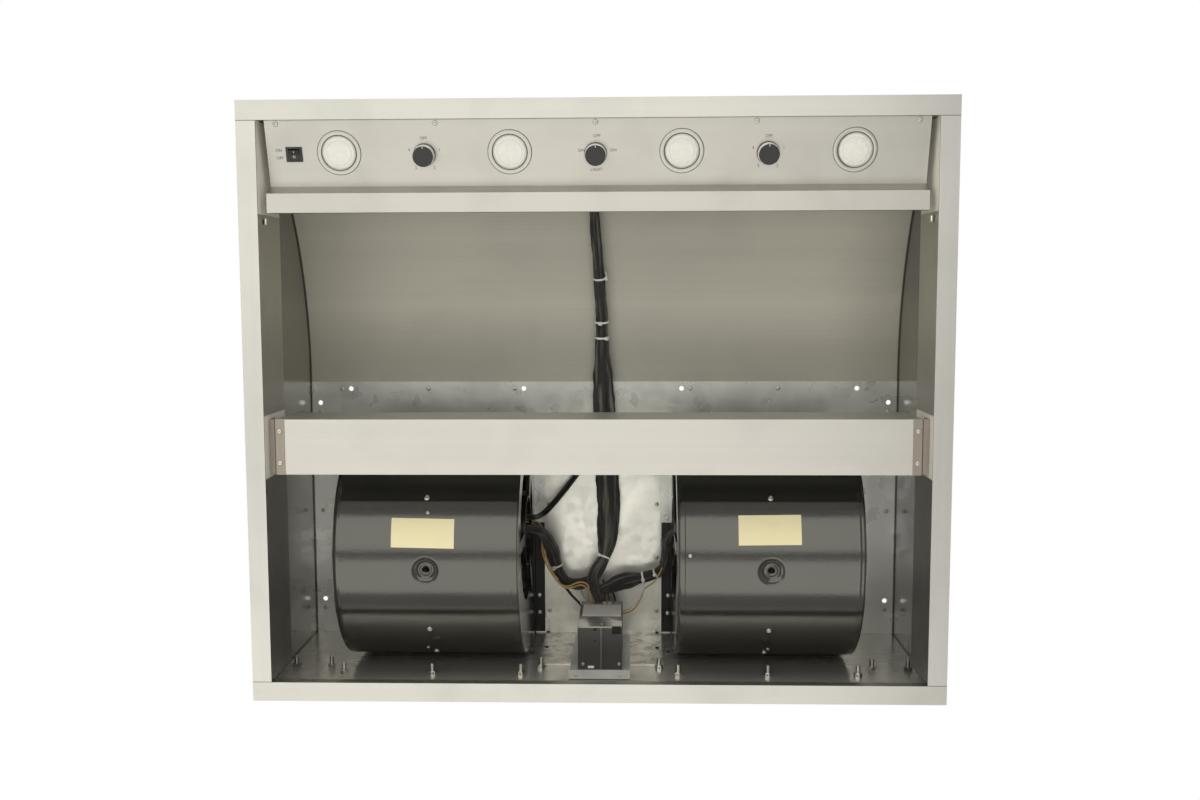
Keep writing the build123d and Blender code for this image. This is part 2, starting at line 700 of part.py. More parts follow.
for side, sign in sides:
    middle_x = sign * blower_x
    inward = -sign  # the motor side faces the middle of the hood

    with BuildPart() as scroll_wrap:
        with BuildSketch(Plane.YZ.offset(middle_x)):
            with BuildLine():
                Line((scroll_back_y, ceiling_z), wrap_back)
                ThreePointArc(wrap_back, wrap_bottom, wrap_front)
                RadiusArc(wrap_front, cut_off, scroll_top_radius)
                offset(amount=blower_sheet, side=Side.LEFT)
            make_face()
        extrude(amount=wrap_half, both=True)
        with BuildSketch(Plane.XY.offset(scroll_bottom - blower_sheet)):
            with Locations((middle_x, scroll_y + drain_shift)):
                Circle(drain_radius)
        extrude(amount=3 * blower_sheet, mode=Mode.SUBTRACT)
    scroll_wrap.part.label = f"{side}_scroll_wrap"
    export_step(scroll_wrap.part, f"parts/{side}_scroll_wrap.step")

    for place, outward in (("inner", inward), ("outer", -inward)):
        with BuildPart() as side_plate:
            with BuildSketch(Plane.YZ.offset(middle_x + outward * wrap_half)):
                with BuildLine():
                    Line((scroll_back_y, ceiling_z), wrap_back)
                    ThreePointArc(wrap_back, wrap_bottom, wrap_front)
                    RadiusArc(wrap_front, cut_off, scroll_top_radius)
                    Polyline(cut_off, (cut_off_y, ceiling_z), (scroll_back_y, ceiling_z))
                make_face()
                with Locations((wheel_y, wheel_z)):
                    Circle(inlet_radius, mode=Mode.SUBTRACT)
            extrude(amount=outward * blower_sheet)
            with BuildSketch(Plane.YZ.offset(middle_x + outward * wrap_half)):
                with Locations((wheel_y, wheel_z)):
                    Circle(inlet_radius + blower_sheet)
                    Circle(inlet_radius, mode=Mode.SUBTRACT)
            extrude(amount=-outward * inlet_lip)
        side_plate.part.label = f"{side}_blower_{place}_plate"
        export_step(side_plate.part, f"parts/{side}_blower_{place}_plate.step")

    with BuildPart() as impeller:
        with BuildSketch(Plane.YZ.offset(middle_x)):
            with Locations((wheel_y, wheel_z)):
                Circle(wheel_radius - web_edge_inset)
        extrude(amount=web_thickness / 2, both=True)
        for rim_side in (-1, 1):
            with BuildSketch(Plane.YZ.offset(middle_x + rim_side * wheel_half)):
                with Locations((wheel_y, wheel_z)):
                    Circle(wheel_radius)
                    Circle(wheel_radius - wheel_rim_width, mode=Mode.SUBTRACT)
            extrude(amount=-rim_side * wheel_rim_thickness)
        with BuildSketch(Plane.YZ.offset(middle_x)):
            with Locations((wheel_y, wheel_z)):
                with PolarLocations(blade_mid_radius, blade_count):
                    Rectangle(blade_chord, blade_thickness, rotation=blade_angle)
        extrude(amount=wheel_half - wheel_rim_thickness / 2, both=True)
        with BuildSketch(Plane.YZ.offset(middle_x - inward * hub_outer)):
            with Locations((wheel_y, wheel_z)):
                Circle(hub_radius)
        extrude(amount=inward * (hub_outer + hub_inner))
        with BuildSketch(Plane.YZ.offset(middle_x)):
            with Locations((wheel_y, wheel_z)):
                Circle(shaft_radius + running_clearance)
        extrude(amount=2 * hub_outer, both=True, mode=Mode.SUBTRACT)
    impeller.part.label = f"{side}_impeller"
    export_step(impeller.part, f"parts/{side}_impeller.step")

    with BuildPart() as motor_shaft:
        with BuildSketch(Plane.YZ.offset(middle_x - inward * (hub_outer + shaft_tail))):
            with Locations((wheel_y, wheel_z)):
                Circle(shaft_radius)
        extrude(amount=inward * (hub_outer + shaft_tail + motor_start + shaft_into_motor))
    motor_shaft.part.label = f"{side}_motor_shaft"
    export_step(motor_shaft.part, f"parts/{side}_motor_shaft.step")

    with BuildPart() as motor:
        with BuildSketch(Plane.YZ.offset(middle_x + inward * motor_start)):
            with Locations((wheel_y, wheel_z)):
                Circle(motor_radius)
        extrude(amount=inward * (motor_end - motor_start))
        fillet(motor.edges().filter_by(GeomType.CIRCLE), radius=motor_edge)
        with BuildSketch(Plane.YZ.offset(middle_x + inward * motor_start)):
            with Locations((wheel_y, wheel_z)):
                Circle(shaft_radius + running_clearance)
        extrude(amount=inward * (shaft_into_motor + seat_gap), mode=Mode.SUBTRACT)
    motor.part.label = f"{side}_motor"
    export_step(motor.part, f"parts/{side}_motor.step")

    arm_end = inlet_radius + arm_overlap
    arm_middle = (motor_radius + arm_end) / 2
    with BuildPart() as motor_bracket:
        with BuildSketch(Plane.YZ.offset(middle_x + inward * (blower_half + band_thickness))):
            with Locations((wheel_y, wheel_z)):
                Circle(motor_radius + band_clearance + band_thickness)
                with PolarLocations(arm_middle, arm_count, start_angle=arm_start_angle):
                    Rectangle(arm_end - motor_radius, arm_width)
                Circle(motor_radius + band_clearance, mode=Mode.SUBTRACT)
        extrude(amount=-inward * band_thickness)
        with BuildSketch(Plane.YZ.offset(middle_x + inward * (blower_half + band_thickness))):
            with Locations((wheel_y, wheel_z)):
                Circle(motor_radius + band_clearance + band_thickness)
                Circle(motor_radius + band_clearance, mode=Mode.SUBTRACT)
        extrude(amount=-inward * band_length)
    motor_bracket.part.label = f"{side}_motor_bracket"
    export_step(motor_bracket.part, f"parts/{side}_motor_bracket.step")

    with BuildPart() as blower_feet:
        for outward in (-1, 1):
            with BuildSketch(Plane.XZ.offset(-foot_front_y)):
                with BuildLine():
                    Polyline(
                        (middle_x + outward * blower_half, ceiling_z - foot_height),
                        (middle_x + outward * blower_half, ceiling_z),
                        (middle_x + outward * (blower_half + foot_width), ceiling_z),
                    )
                    offset(amount=sheet, side=Side.RIGHT if outward > 0 else Side.LEFT)
                make_face()
            extrude(amount=foot_front_y - foot_rear_y)
    blower_feet.part.label = f"{side}_blower_feet"
    export_step(blower_feet.part, f"parts/{side}_blower_feet.step")

    stop_middle = collar_radius - collar_wall / 2 - damper_stop_length / 2
    with BuildPart() as duct_collar:
        with BuildSketch(Plane.XY.offset(shelf_z)):
            with Locations((middle_x, collar_y)):
                Circle(collar_radius + collar_flange)
                Circle(collar_inner_radius, mode=Mode.SUBTRACT)
        extrude(amount=sheet)
        with BuildSketch(Plane.XY.offset(shelf_z)):
            with Locations((middle_x, collar_y)):
                Circle(collar_radius)
                Circle(collar_inner_radius, mode=Mode.SUBTRACT)
        extrude(amount=collar_height)
        with BuildSketch(Plane.XY.offset(damper_stop_z)):
            with Locations((middle_x, collar_y)):
                with PolarLocations(stop_middle, damper_stop_count, start_angle=damper_stop_angle):
                    Rectangle(damper_stop_length, damper_stop_width)
        extrude(amount=damper_stop_thickness)
        with BuildSketch(Plane.YZ.offset(middle_x)):
            with Locations((collar_y, damper_pin_z)):
                Circle(damper_pin_radius + running_clearance)
        extrude(amount=collar_radius + collar_flange, both=True, mode=Mode.SUBTRACT)
    duct_collar.part.label = f"{side}_duct_collar"
    export_step(duct_collar.part, f"parts/{side}_duct_collar.step")

    for place, toward in (("front", -1), ("rear", 1)):
        barrel_shifts = (toward * damper_barrel_outer, -toward * damper_barrel_inner)
        with BuildPart() as damper_flap:
            with BuildSketch(Plane.XY.offset(damper_pin_z - damper_thickness / 2)):
                with Locations((middle_x, collar_y)):
                    Circle(collar_inner_radius - damper_edge_gap)
                with Locations((middle_x, collar_y - toward * (collar_radius / 2 - damper_centre_gap / 2))):
                    Rectangle(2 * collar_radius, collar_radius + damper_centre_gap, mode=Mode.SUBTRACT)
                for shift in barrel_shifts:
                    with Locations((middle_x + shift, collar_y + toward * damper_centre_gap / 2)):
                        Rectangle(damper_barrel_length, damper_centre_gap + 2 * damper_thickness)
            extrude(amount=damper_thickness)
            for shift in barrel_shifts:
                with BuildSketch(Plane.YZ.offset(middle_x + shift)):
                    with Locations((collar_y, damper_pin_z)):
                        Circle(damper_barrel_radius)
                extrude(amount=damper_barrel_length / 2, both=True)
            with BuildSketch(Plane.YZ.offset(middle_x)):
                with Locations((collar_y, damper_pin_z)):
                    Circle(damper_pin_radius + running_clearance)
            extrude(amount=collar_radius, both=True, mode=Mode.SUBTRACT)
        damper_flap.part.label = f"{side}_{place}_damper_flap"
        export_step(damper_flap.part, f"parts/{side}_{place}_damper_flap.step")

with BuildPart() as damper_pins:
    for side, sign in sides:
        with BuildSketch(Plane.YZ.offset(sign * blower_x)):
            with Locations((collar_y, damper_pin_z)):
                Circle(damper_pin_radius)
        extrude(amount=collar_radius, both=True)
damper_pins.part.label = "damper_pins"
export_step(damper_pins.part, "parts/damper_pins.step")

# ==== fasteners ===========================================================================
with BuildPart() as panel_screws:
    for x in panel_screw_x:
        face = panel_plane(x, panel_screw_inset)
        with BuildSketch(face):
            Circle(screw_head_radius)
        extrude(amount=screw_head_height, taper=screw_head_taper)
        with BuildSketch(face):
            Circle(screw_radius)
        extrude(amount=-panel_screw_length)
    with BuildSketch(Plane.XY.offset(rail_z - sheet)):
        with Locations(*rail_screw_points):
            Circle(screw_head_radius)
    extrude(amount=-screw_head_height, taper=screw_head_taper)
    with BuildSketch(Plane.XY.offset(rail_z - sheet)):
        with Locations(*rail_screw_points):
            Circle(screw_radius)
    extrude(amount=screw_length)
panel_screws.part.label = "panel_screws"
export_step(panel_screws.part, "parts/panel_screws.step")

with BuildPart() as top_screws:
    for seat_z, points in (
        (ceiling_z, front_screw_points + side_screw_points),
        (ceiling_z - sheet, centre_screw_points),
    ):
        with BuildSketch(Plane.XY.offset(seat_z)):
            with Locations(*points):
                Circle(screw_head_radius)
        extrude(amount=-screw_head_height, taper=screw_head_taper)
        with BuildSketch(Plane.XY.offset(seat_z)):
            with Locations(*points):
                Circle(screw_radius)
        extrude(amount=screw_length / 2)
top_screws.part.label = "top_screws"
export_step(top_screws.part, "parts/top_screws.step")

with BuildPart() as wall_studs:
    with BuildSketch(Plane.XZ.offset(-back_wall_y)):
        with Locations(*stud_points):
            RegularPolygon(stud_nut_radius, 6)
    extrude(amount=stud_nut_height)
    with BuildSketch(Plane.XZ.offset(-back_wall_y)):
        with Locations(*stud_points):
            Circle(stud_radius)
    extrude(amount=stud_length)
wall_studs.part.label = "wall_studs"
export_step(wall_studs.part, "parts/wall_studs.step")

with BuildPart() as blower_screws:
    for side, sign in sides:
        for angle in blower_screw_angles:
            out_y = math.sin(math.radians(angle))
            out_z = -math.cos(math.radians(angle))
            seat = scroll_radius + running_clearance
            seat_point = (sign * blower_x, scroll_y + seat * out_y, scroll_z + seat * out_z)
            with BuildSketch(Plane(origin=seat_point, x_dir=(1, 0, 0), z_dir=(0, out_y, out_z))):
                Circle(blower_screw_radius)
            extrude(amount=blower_screw_height, taper=screw_head_taper)
blower_screws.part.label = "blower_screws"
export_step(blower_screws.part, "parts/blower_screws.step")

# ==== wiring ==============================================================================
# The sleeve leaves the back of the light switch, follows the inside of the curved front and
# the top, and ends at the junction box. Two branches and one lead end at the motors.
switch_back = panel_plane(knob_x[1], knob_distance).offset(-sheet - switch_depth)
harness_exit = switch_back.offset(-harness_straight).origin
box_front = box_front_y - box_cover
motor_face_x = blower_x - motor_end
harness_route = [
    tuple(switch_back.origin),
    tuple(harness_exit),
    (-5, -308, 152),
    (-8, -240, 217),
    (-3, -160, 262),
    (0, -70, 286),
    (2, 30, 290),
    (8, 128, 289),
    (9, 212, 286),
    (2, 266, 278),
    (-1, box_front - harness_bend_distance, 243),
    (-1, box_front, 243),
]
left_branch_route = [
    (-8.9, 283, 262),
    (-32, 292, 270),
    (-56, 288, 274),
    (-68, 262, 272),
    (-73, 234, 262),
    (-82, 208, 238),
    (-93, 193, 203),
    (-motor_face_x, 193, 203),
]
right_branch_route = [
    (8.9, 283, 262),
    (31, 291, 272),
    (56, 288, 277),
    (79, 276, 272),
    (92, 257, 260),
    (89, 232, 240),
    (92, 195, 203),
    (motor_face_x, 195, 203),
]
left_lead_route = [
    (-8.9, 64, 289),
    (-14, 88, 290),
    (-30, 117, 288),
    (-48, 142, 286),
    (-68, 166, 280),
    (-84, 182, 262),
    (-92, 182, 232),
    (-95, 174, 190),
    (-motor_face_x, 174, 190),
]
for name, route, radius in (
    ("main_harness", harness_route, harness_radius),
    ("left_motor_branch", left_branch_route, branch_radius),
    ("right_motor_branch", right_branch_route, branch_radius),
    ("left_motor_lead", left_lead_route, lead_radius),
):
    radii = arc_radii(route)
    with BuildPart() as wire:
        with BuildLine() as path:
            FilletPolyline(*route, radius=radii)
        with BuildSketch(Plane(origin=path.line @ 0, z_dir=path.line % 0)):
            Circle(radius)
        sweep(path=path.line)
    length = sum(edge.length for edge in path.edges())
    print(name, "length", round(length, 1), "radii", [round(r, 1) for r in radii])
    print("   volume share", round(wire.part.volume / (math.pi * radius**2 * length), 4))
    wire.part.label = name
    export_step(wire.part, f"parts/{name}.step")
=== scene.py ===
import bmesh
import bpy
import math
from mathutils import Matrix, Vector, noise


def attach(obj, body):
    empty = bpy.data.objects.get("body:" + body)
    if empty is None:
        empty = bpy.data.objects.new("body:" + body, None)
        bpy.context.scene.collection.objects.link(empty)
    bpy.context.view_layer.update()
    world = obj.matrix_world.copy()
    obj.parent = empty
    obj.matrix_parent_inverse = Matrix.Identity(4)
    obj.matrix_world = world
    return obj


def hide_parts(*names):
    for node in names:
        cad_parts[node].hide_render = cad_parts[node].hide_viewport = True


# Looks for the range hood insert, in metres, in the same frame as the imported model.
# The open mouth faces -Z, the cook's side is -Y and +X is the right of the picture.

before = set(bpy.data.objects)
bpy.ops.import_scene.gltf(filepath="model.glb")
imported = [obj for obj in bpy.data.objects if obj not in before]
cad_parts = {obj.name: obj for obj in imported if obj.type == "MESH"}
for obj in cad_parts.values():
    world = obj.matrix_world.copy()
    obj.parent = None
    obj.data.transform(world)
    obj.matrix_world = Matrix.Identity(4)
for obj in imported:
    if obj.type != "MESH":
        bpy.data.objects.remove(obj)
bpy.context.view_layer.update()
print("frame loaded:", len(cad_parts), "nodes")

mm = 0.001
sides = ("left", "right")


def fromScreen(*colour):
    # a colour as a screen shows it, 0 to 255, made linear
    return tuple(((c / 255 + 0.055) / 1.055) ** 2.4 if c > 10 else c / 255 / 12.92 for c in colour)


def scaled(colour, factor):
    return tuple(min(1.0, c * factor) for c in colour)


# a node tree, with short ways to add nodes and to give them values or links
class Net:
    def __init__(self, tree):
        self.tree = tree

    def feed(self, socket, value):
        if isinstance(value, bpy.types.NodeSocket):
            self.tree.links.new(value, socket)
        else:
            socket.default_value = (*value, 1) if socket.type == "RGBA" else value

    def node(self, kind, inputs=(), **settings):
        # inputs are plain values or sockets, by place or by name
        node = self.tree.nodes.new(kind)
        for name, value in settings.items():
            setattr(node, name, value)
        for key, value in inputs.items() if isinstance(inputs, dict) else enumerate(inputs):
            if value is not None:
                self.feed(node.inputs[key], value)
        return node

    def maths(self, operation, first, second=None, clamp=False):
        return self.node("ShaderNodeMath", (first, second), operation=operation, use_clamp=clamp).outputs[0]

    def times(self, first, second):
        return self.maths("MULTIPLY", first, second)

    def plus(self, first, second):
        return self.maths("ADD", first, second)

    def minus(self, first, second):
        return self.maths("SUBTRACT", first, second)

    def vector(self, operation, first, second=None, scale=None):
        node = self.node("ShaderNodeVectorMath", {0: first, 1: second, "Scale": scale}, operation=operation)
        return node.outputs["Value" if operation in ("DOT_PRODUCT", "LENGTH") else "Vector"]

    def split(self, vector):
        return self.node("ShaderNodeSeparateXYZ", (vector,)).outputs

    def combine(self, x=None, y=None, z=None):
        return self.node("ShaderNodeCombineXYZ", (x, y, z)).outputs[0]

    def mix(self, factor, first, second, blend="MIX"):
        inputs = {0: factor, 6: first, 7: second}
        return self.node("ShaderNodeMix", inputs, data_type="RGBA", blend_type=blend).outputs[2]

    def noise(self, vector, scale, detail, roughness=0.5, distortion=0.0):
        inputs = {"Vector": vector, "Scale": scale, "Detail": detail, "Roughness": roughness,
                  "Distortion": distortion}
        return self.node("ShaderNodeTexNoise", inputs).outputs["Fac"]

    def cells(self, vector, scale):
        return self.node("ShaderNodeTexVoronoi", {"Vector": vector, "Scale": scale}).outputs

    def span(self, value, low, high, newLow, newHigh):
        inputs = {"Value": value, "From Min": low, "From Max": high, "To Min": newLow, "To Max": newHigh}
        return self.node("ShaderNodeMapRange", inputs).outputs["Result"]

    def use(self, name, vector, **values):
        return self.node("ShaderNodeGroup", {"Vector": vector, **values}, node_tree=shared[name]).outputs

    def give(self, **values):
        for label, value in values.items():
            self.feed(self.made[label], value)
        return self.tree

    def shade(self, values, height, strength, distance):
        # the values go to the shader, and the height makes its bump
        bump = self.node("ShaderNodeBump", {"Strength": strength, "Distance": distance, "Height": height})
        shader = self.tree.nodes["Principled BSDF"]
        for label, value in {**values, "Normal": bump.outputs[0]}.items():
            self.feed(shader.inputs[label], value)


def newTree(name, kind, inputs, outputs):
    tree = bpy.data.node_groups.new(name, kind)
    for label, socketKind, value in inputs:
        socket = tree.interface.new_socket(label, in_out="INPUT", socket_type="NodeSocket" + socketKind)
        if value is not None:
            socket.default_value = value
    for label, socketKind in outputs:
        tree.interface.new_socket(label, in_out="OUTPUT", socket_type="NodeSocket" + socketKind)
    net = Net(tree)
    net.made = net.node("NodeGroupOutput").inputs
    return net, net.node("NodeGroupInput").outputs


# shader groups
def newGroup(name, inputs, outputs):
    inputs = (("Vector", "Vector", None), *inputs)
    net, given = newTree(name, "ShaderNodeTree", inputs, [(label, "Float") for label in outputs])
    return net, given, given["Vector"]


def grainGroup():
    # brushed lines: the Stretch vector is large across the lines and small along them
    inputs = (("Stretch", "Vector", None), ("Contrast", "Float", 0.1))
    net, given, vector = newGroup("brushedGrain", inputs, ("Tone", "Lines"))
    stretched = net.vector("MULTIPLY", vector, given["Stretch"])
    fine = net.noise(stretched, 1.0, 4.0, 0.7)
    wide = net.noise(net.vector("MULTIPLY", stretched, (0.12, 0.12, 0.12)), 1.0, 2.0)
    both = net.plus(net.times(fine, 0.6), net.times(wide, 0.4))
    swing = net.times(net.minus(both, 0.5), given["Contrast"])
    return net.give(Tone=net.plus(net.times(swing, 4.0), 1.0), Lines=fine)


def marksGroup():
    # soft stains and handling marks, from 0 for clean to 1 for marked
    inputs = (("Scale", "Float", 6.0), ("Spread", "Float", 0.5))
    net, given, vector = newGroup("handlingMarks", inputs, ("Mask", "Cloud"))
    cloud = net.noise(vector, given["Scale"], 4.0, 0.55, 0.6)
    low = net.minus(0.75, net.times(given["Spread"], 0.4))
    return net.give(Mask=net.span(cloud, low, 0.85, 0.0, 1.0), Cloud=cloud)


def spangleGroup():
    # the crystal patches of galvanised sheet
    inputs = (("Scale", "Float", 70.0), ("Contrast", "Float", 0.1))
    net, given, vector = newGroup("zincSpangle", inputs, ("Tone", "Crystal"))
    ripple = net.node("ShaderNodeTexNoise", {"Vector": vector, "Scale": 90.0}).outputs["Color"]
    warped = net.vector("ADD", vector, net.vector("MULTIPLY", ripple, (0.012, 0.012, 0.012)))
    patch = net.cells(warped, given["Scale"])["Color"]
    parts = net.node("ShaderNodeSeparateColor", (patch,)).outputs
    swing = net.times(net.minus(parts[0], 0.5), given["Contrast"])
    return net.give(Tone=net.plus(net.times(swing, 2.0), 1.0), Crystal=parts[1])


def dustGroup():
    # dust specks and the fine peel of a gloss coat
    inputs = (("Peel", "Float", 500.0), ("Amount", "Float", 0.3))
    net, given, vector = newGroup("dustAndPeel", inputs, ("Dust", "Peel"))
    near = net.span(net.cells(vector, 420.0)["Distance"], 0.05, 0.2, 1.0, 0.0)
    area = net.span(net.noise(vector, 14.0, 3.0), 0.45, 0.7, 0.0, 1.0)
    film = net.times(net.noise(vector, 900.0, 2.0, 0.6), 0.5)
    dust = net.times(net.plus(near, film), area)
    return net.give(Dust=net.maths("MULTIPLY", dust, given["Amount"], clamp=True),
                    Peel=net.noise(vector, given["Peel"], 2.0))


def weaveGroup():
    # crossed yarns of a sleeve, from its own UV map, one repeat to each unit
    net, given, vector = newGroup("wovenYarns", (("Repeats", "Float", 1.0),), ("Height", "Yarn"))
    parts, turn = net.split(vector), net.times(given["Repeats"], math.tau)
    first = net.maths("SINE", net.times(net.plus(parts[0], parts[1]), turn))
    second = net.maths("SINE", net.times(net.minus(parts[0], parts[1]), turn))
    height = net.plus(net.times(net.maths("MAXIMUM", first, second), 0.5), 0.5)
    return net.give(Height=height, Yarn=net.span(net.times(first, second), -1.0, 1.0, 0.0, 1.0))


shared = {"grain": grainGroup(), "marks": marksGroup(), "spangle": spangleGroup(), "dust": dustGroup(),
          "weave": weaveGroup()}
print("shader groups made:", len(shared))


# materials
steelLooks = {
    # grain: how fast the brushed lines change along X, Y and Z
    "rimSteel": {"colour": (190, 188, 182), "rough": 0.34, "grain": (5, 700, 700), "contrast": 0.05,
                 "metal": 1.0},
    # the side rims' ledges paint light: their inner faces are made pale beside the control panel and the rail
    "sideRimSteel": {"colour": (193, 191, 185), "rough": 0.34, "grain": (700, 5, 700), "contrast": 0.05,
                     "metal": 1.0, "seams": ((1, 0.35, 0.001),), "ledges": ((-0.4, -0.238), (0.012, 0.09))},
    "panelSteel": {"colour": (185, 182, 175), "rough": 0.36, "grain": (4, 800, 800), "contrast": 0.04,
                   "metal": 1.0},
    "railSteel": {"colour": (197, 194, 187), "rough": 0.34, "grain": (4, 700, 700), "contrast": 0.05,
                  "metal": 0.88},
    # the tab's gap paints a shadow line where it steps up to the strip at the rail's end
    "tabSteel": {"colour": (150, 141, 130), "rough": 0.36, "grain": (300, 4, 300), "contrast": 0.06,
                 "metal": 0.6, "gap": (0.4028, 0.0011)},
    # the canopy's tone steps paint light: lighter towards the ends and darker at the top edge under the top
    # panel; its seam paints shadow where it meets the side walls
    "canopySteel": {"colour": (194, 190, 177), "rough": 0.5, "grain": (4, 400, 400), "contrast": 0.07,
                    "metal": 0.3, "paintedShading": ((0, 0.1, 0.42, 1.0, 1.26), (2, 0.29, 0.303, 1.0, 0.72)),
                    "seams": ((0, 0.4353, 0.0022),)},
    # the side walls' tone steps are painted shade, darker towards the front and the back, and their seams
    # paint shadow into the corners at the back wall and the top panel
    "wallSteel": {"colour": (170, 168, 159), "rough": 0.12, "grain": (500, 4, 500), "contrast": 0.05,
                  "metal": 0.8, "bump": 0.04,
                  "paintedShading": ((1, -0.13, -0.04, 0.62, 1.0), (1, 0.04, 0.13, 1.0, 0.46)),
                  "seams": ((1, 0.3728, 0.0025), (2, 0.3026, 0.002))},
    # the right wall is a darker, shaded copy of the left wall: painted shade on the side away from the soft
    # boxes
    "wallSteelRightShaded": {"colour": (158, 156, 147), "rough": 0.12, "grain": (500, 4, 500), "contrast": 0.05,
                       "metal": 0.8, "bump": 0.04,
                       "paintedShading": ((1, -0.13, -0.04, 0.42, 1.0), (1, 0.04, 0.13, 1.0, 0.29)),
                       "seams": ((1, 0.3728, 0.0025), (2, 0.3026, 0.002))},
    # the back wall's seams paint shadow into its corners at the side walls and the top panel
    "backSteel": {"colour": (206, 203, 194), "rough": 0.18, "grain": (4, 500, 500), "contrast": 0.05,
                  "metal": 0.65, "bump": 0.03, "seams": ((0, 0.4353, 0.0025), (2, 0.3026, 0.002))},
}
steelDetail = {
    # the seam colour is dirt at the rims' joints and painted shadow in the corners of the walls, back wall,
    # canopy and top panel
    "seamDirtAndShadow": (0.022, 0.018, 0.015),
    "gapShadow": (0.03, 0.025, 0.02),
    "ledgeLitColour": fromScreen(240, 235, 224),
    "ledgeX": (0.4138, 0.414),  # the side rims' inner faces lie inside these
    "ledgeZ": (0.001, 0.0025),
}


def startMaterial(name, vectorFrom="Object"):
    material = bpy.data.materials.new(name)
    material.use_nodes = True
    net = Net(material.node_tree)
    return material, net, net.node("ShaderNodeTexCoord").outputs[vectorFrom]


def axisValue(net, vector, axis, signed=False):
    value = net.split(vector)[axis]
    return value if signed else net.maths("ABSOLUTE", value)


def fadedTone(net, vector, tone, paintedShading):
    # painted light and shade: slow changes of tone along the sheet, lighter or darker where more or less
    # light falls; axis, start, end, tone before and after
    for axis, *change in paintedShading:
        tone = net.times(tone, net.span(axisValue(net, vector, axis, signed=axis == 1), *change))
    return tone


def seamShade(net, vector, colour, seams):
    # the dirt and shadow in a seam: axis, place of the seam, width
    for axis, place, width in seams:
        away = net.minus(place, axisValue(net, vector, axis))
        colour = net.mix(net.span(away, width * 0.5, width, 0.88, 0.0), colour, steelDetail["seamDirtAndShadow"])
    return colour


def ledgeMask(net, vector, spans):
    # the inner faces of the side rims beside the control panel and the rail, made pale and less metallic
    # there as painted light
    parts, mask = net.split(vector), None
    for start, end in spans:
        first = net.span(parts[1], start - mm, start, 0.0, 1.0)
        part = net.times(first, net.span(parts[1], end, end + mm, 1.0, 0.0))
        mask = part if mask is None else net.maths("MAXIMUM", mask, part)
    inner = net.span(net.maths("ABSOLUTE", parts[0]), *steelDetail["ledgeX"], 1.0, 0.0)
    return net.times(net.times(mask, inner), net.span(parts[2], *steelDetail["ledgeZ"], 0.0, 1.0))


def steelMaterial(name, look):
    material, net, vector = startMaterial(name)
    grain = net.use("grain", vector, Stretch=look["grain"], Contrast=look["contrast"])
    marks = net.use("marks", vector, Scale=9.0, Spread=0.6)
    clean, metallic = fromScreen(*look["colour"]), look["metal"]
    toned = net.mix(net.times(marks["Mask"], 0.5), clean, scaled(clean, 0.8))
    toned = net.mix(1.0, toned, fadedTone(net, vector, grain["Tone"], look.get("paintedShading", ())), "MULTIPLY")
    toned = seamShade(net, vector, toned, look.get("seams", ()))
    if "ledges" in look:
        # painted light: pale and less metallic on the ledges
        litLedge = ledgeMask(net, vector, look["ledges"])
        toned = net.mix(litLedge, toned, steelDetail["ledgeLitColour"])
        metallic = net.minus(metallic, net.times(litLedge, 0.95))
    # a painted shadow line along the step between the tab and the strip
    if "gap" in look:
        place, half = look["gap"]
        off = net.maths("ABSOLUTE", net.minus(axisValue(net, vector, 0), place))
        toned = net.mix(net.span(off, half * 0.7, half, 0.9, 0.0), toned, steelDetail["gapShadow"])
    lined = net.times(net.minus(grain["Lines"], 0.5), 0.16)
    rough = net.plus(net.plus(lined, net.times(marks["Cloud"], 0.08)), look["rough"])
    net.shade({"Base Color": toned, "Roughness": rough, "Metallic": metallic}, grain["Lines"],
              look.get("bump", 0.12), 0.0004)
    return material


zincLooks = {
    "zincBright": {"colour": (240, 238, 228), "rough": 0.28, "contrast": 0.03, "metal": 0.62, "bump": 0.2,
                   "streakTop": 0.3},  # the upright part below this height is wiped and streaked
    "zincGrey": {"colour": (206, 208, 203), "rough": 0.34, "contrast": 0.02, "metal": 0.4},
    # the top panel's tone steps paint light: darker towards the front and lighter towards the ends; its seam
    # paints shadow along the side walls
    "zincTop": {"colour": (240, 240, 232), "rough": 0.26, "contrast": 0.025, "metal": 0.5, "bump": 0.1,
                "paintedShading": ((1, 0.035, 0.09, 0.62, 1.0), (0, 0.345, 0.38, 1.0, 1.25)),
                "seams": ((0, 0.4353, 0.0022),)},
    "zincWheel": {"colour": (226, 224, 216), "rough": 0.24, "contrast": 0.06, "metal": 0.8},
}


def zincMaterial(name, look):
    material, net, vector = startMaterial(name)
    spangle = net.use("spangle", vector, Scale=80.0, Contrast=look["contrast"])
    marks = net.use("marks", vector, Scale=20.0, Spread=0.9)
    clean = fromScreen(*look["colour"])
    toned = net.mix(net.times(marks["Mask"], 0.6), clean, scaled(clean, 0.62))
    toned = net.mix(1.0, toned, fadedTone(net, vector, spangle["Tone"], look.get("paintedShading", ())), "MULTIPLY")
    if "streakTop" in look:
        wiped = net.noise(net.vector("MULTIPLY", vector, (34, 34, 44)), 1.0, 6.0, 0.68, 1.4)
        low = net.span(net.split(vector)[2], look["streakTop"] - 2 * mm, look["streakTop"], 1.0, 0.0)
        toned = net.mix(net.times(low, net.span(wiped, 0.44, 0.62, 0.0, 0.8)), toned, scaled(clean, 0.3))
    toned = seamShade(net, vector, toned, look.get("seams", ()))
    rough = net.plus(net.times(spangle["Crystal"], 0.12), look["rough"])
    net.shade({"Base Color": toned, "Roughness": rough, "Metallic": look["metal"]}, marks["Cloud"],
              look.get("bump", 0.12), 0.0008)
    return material


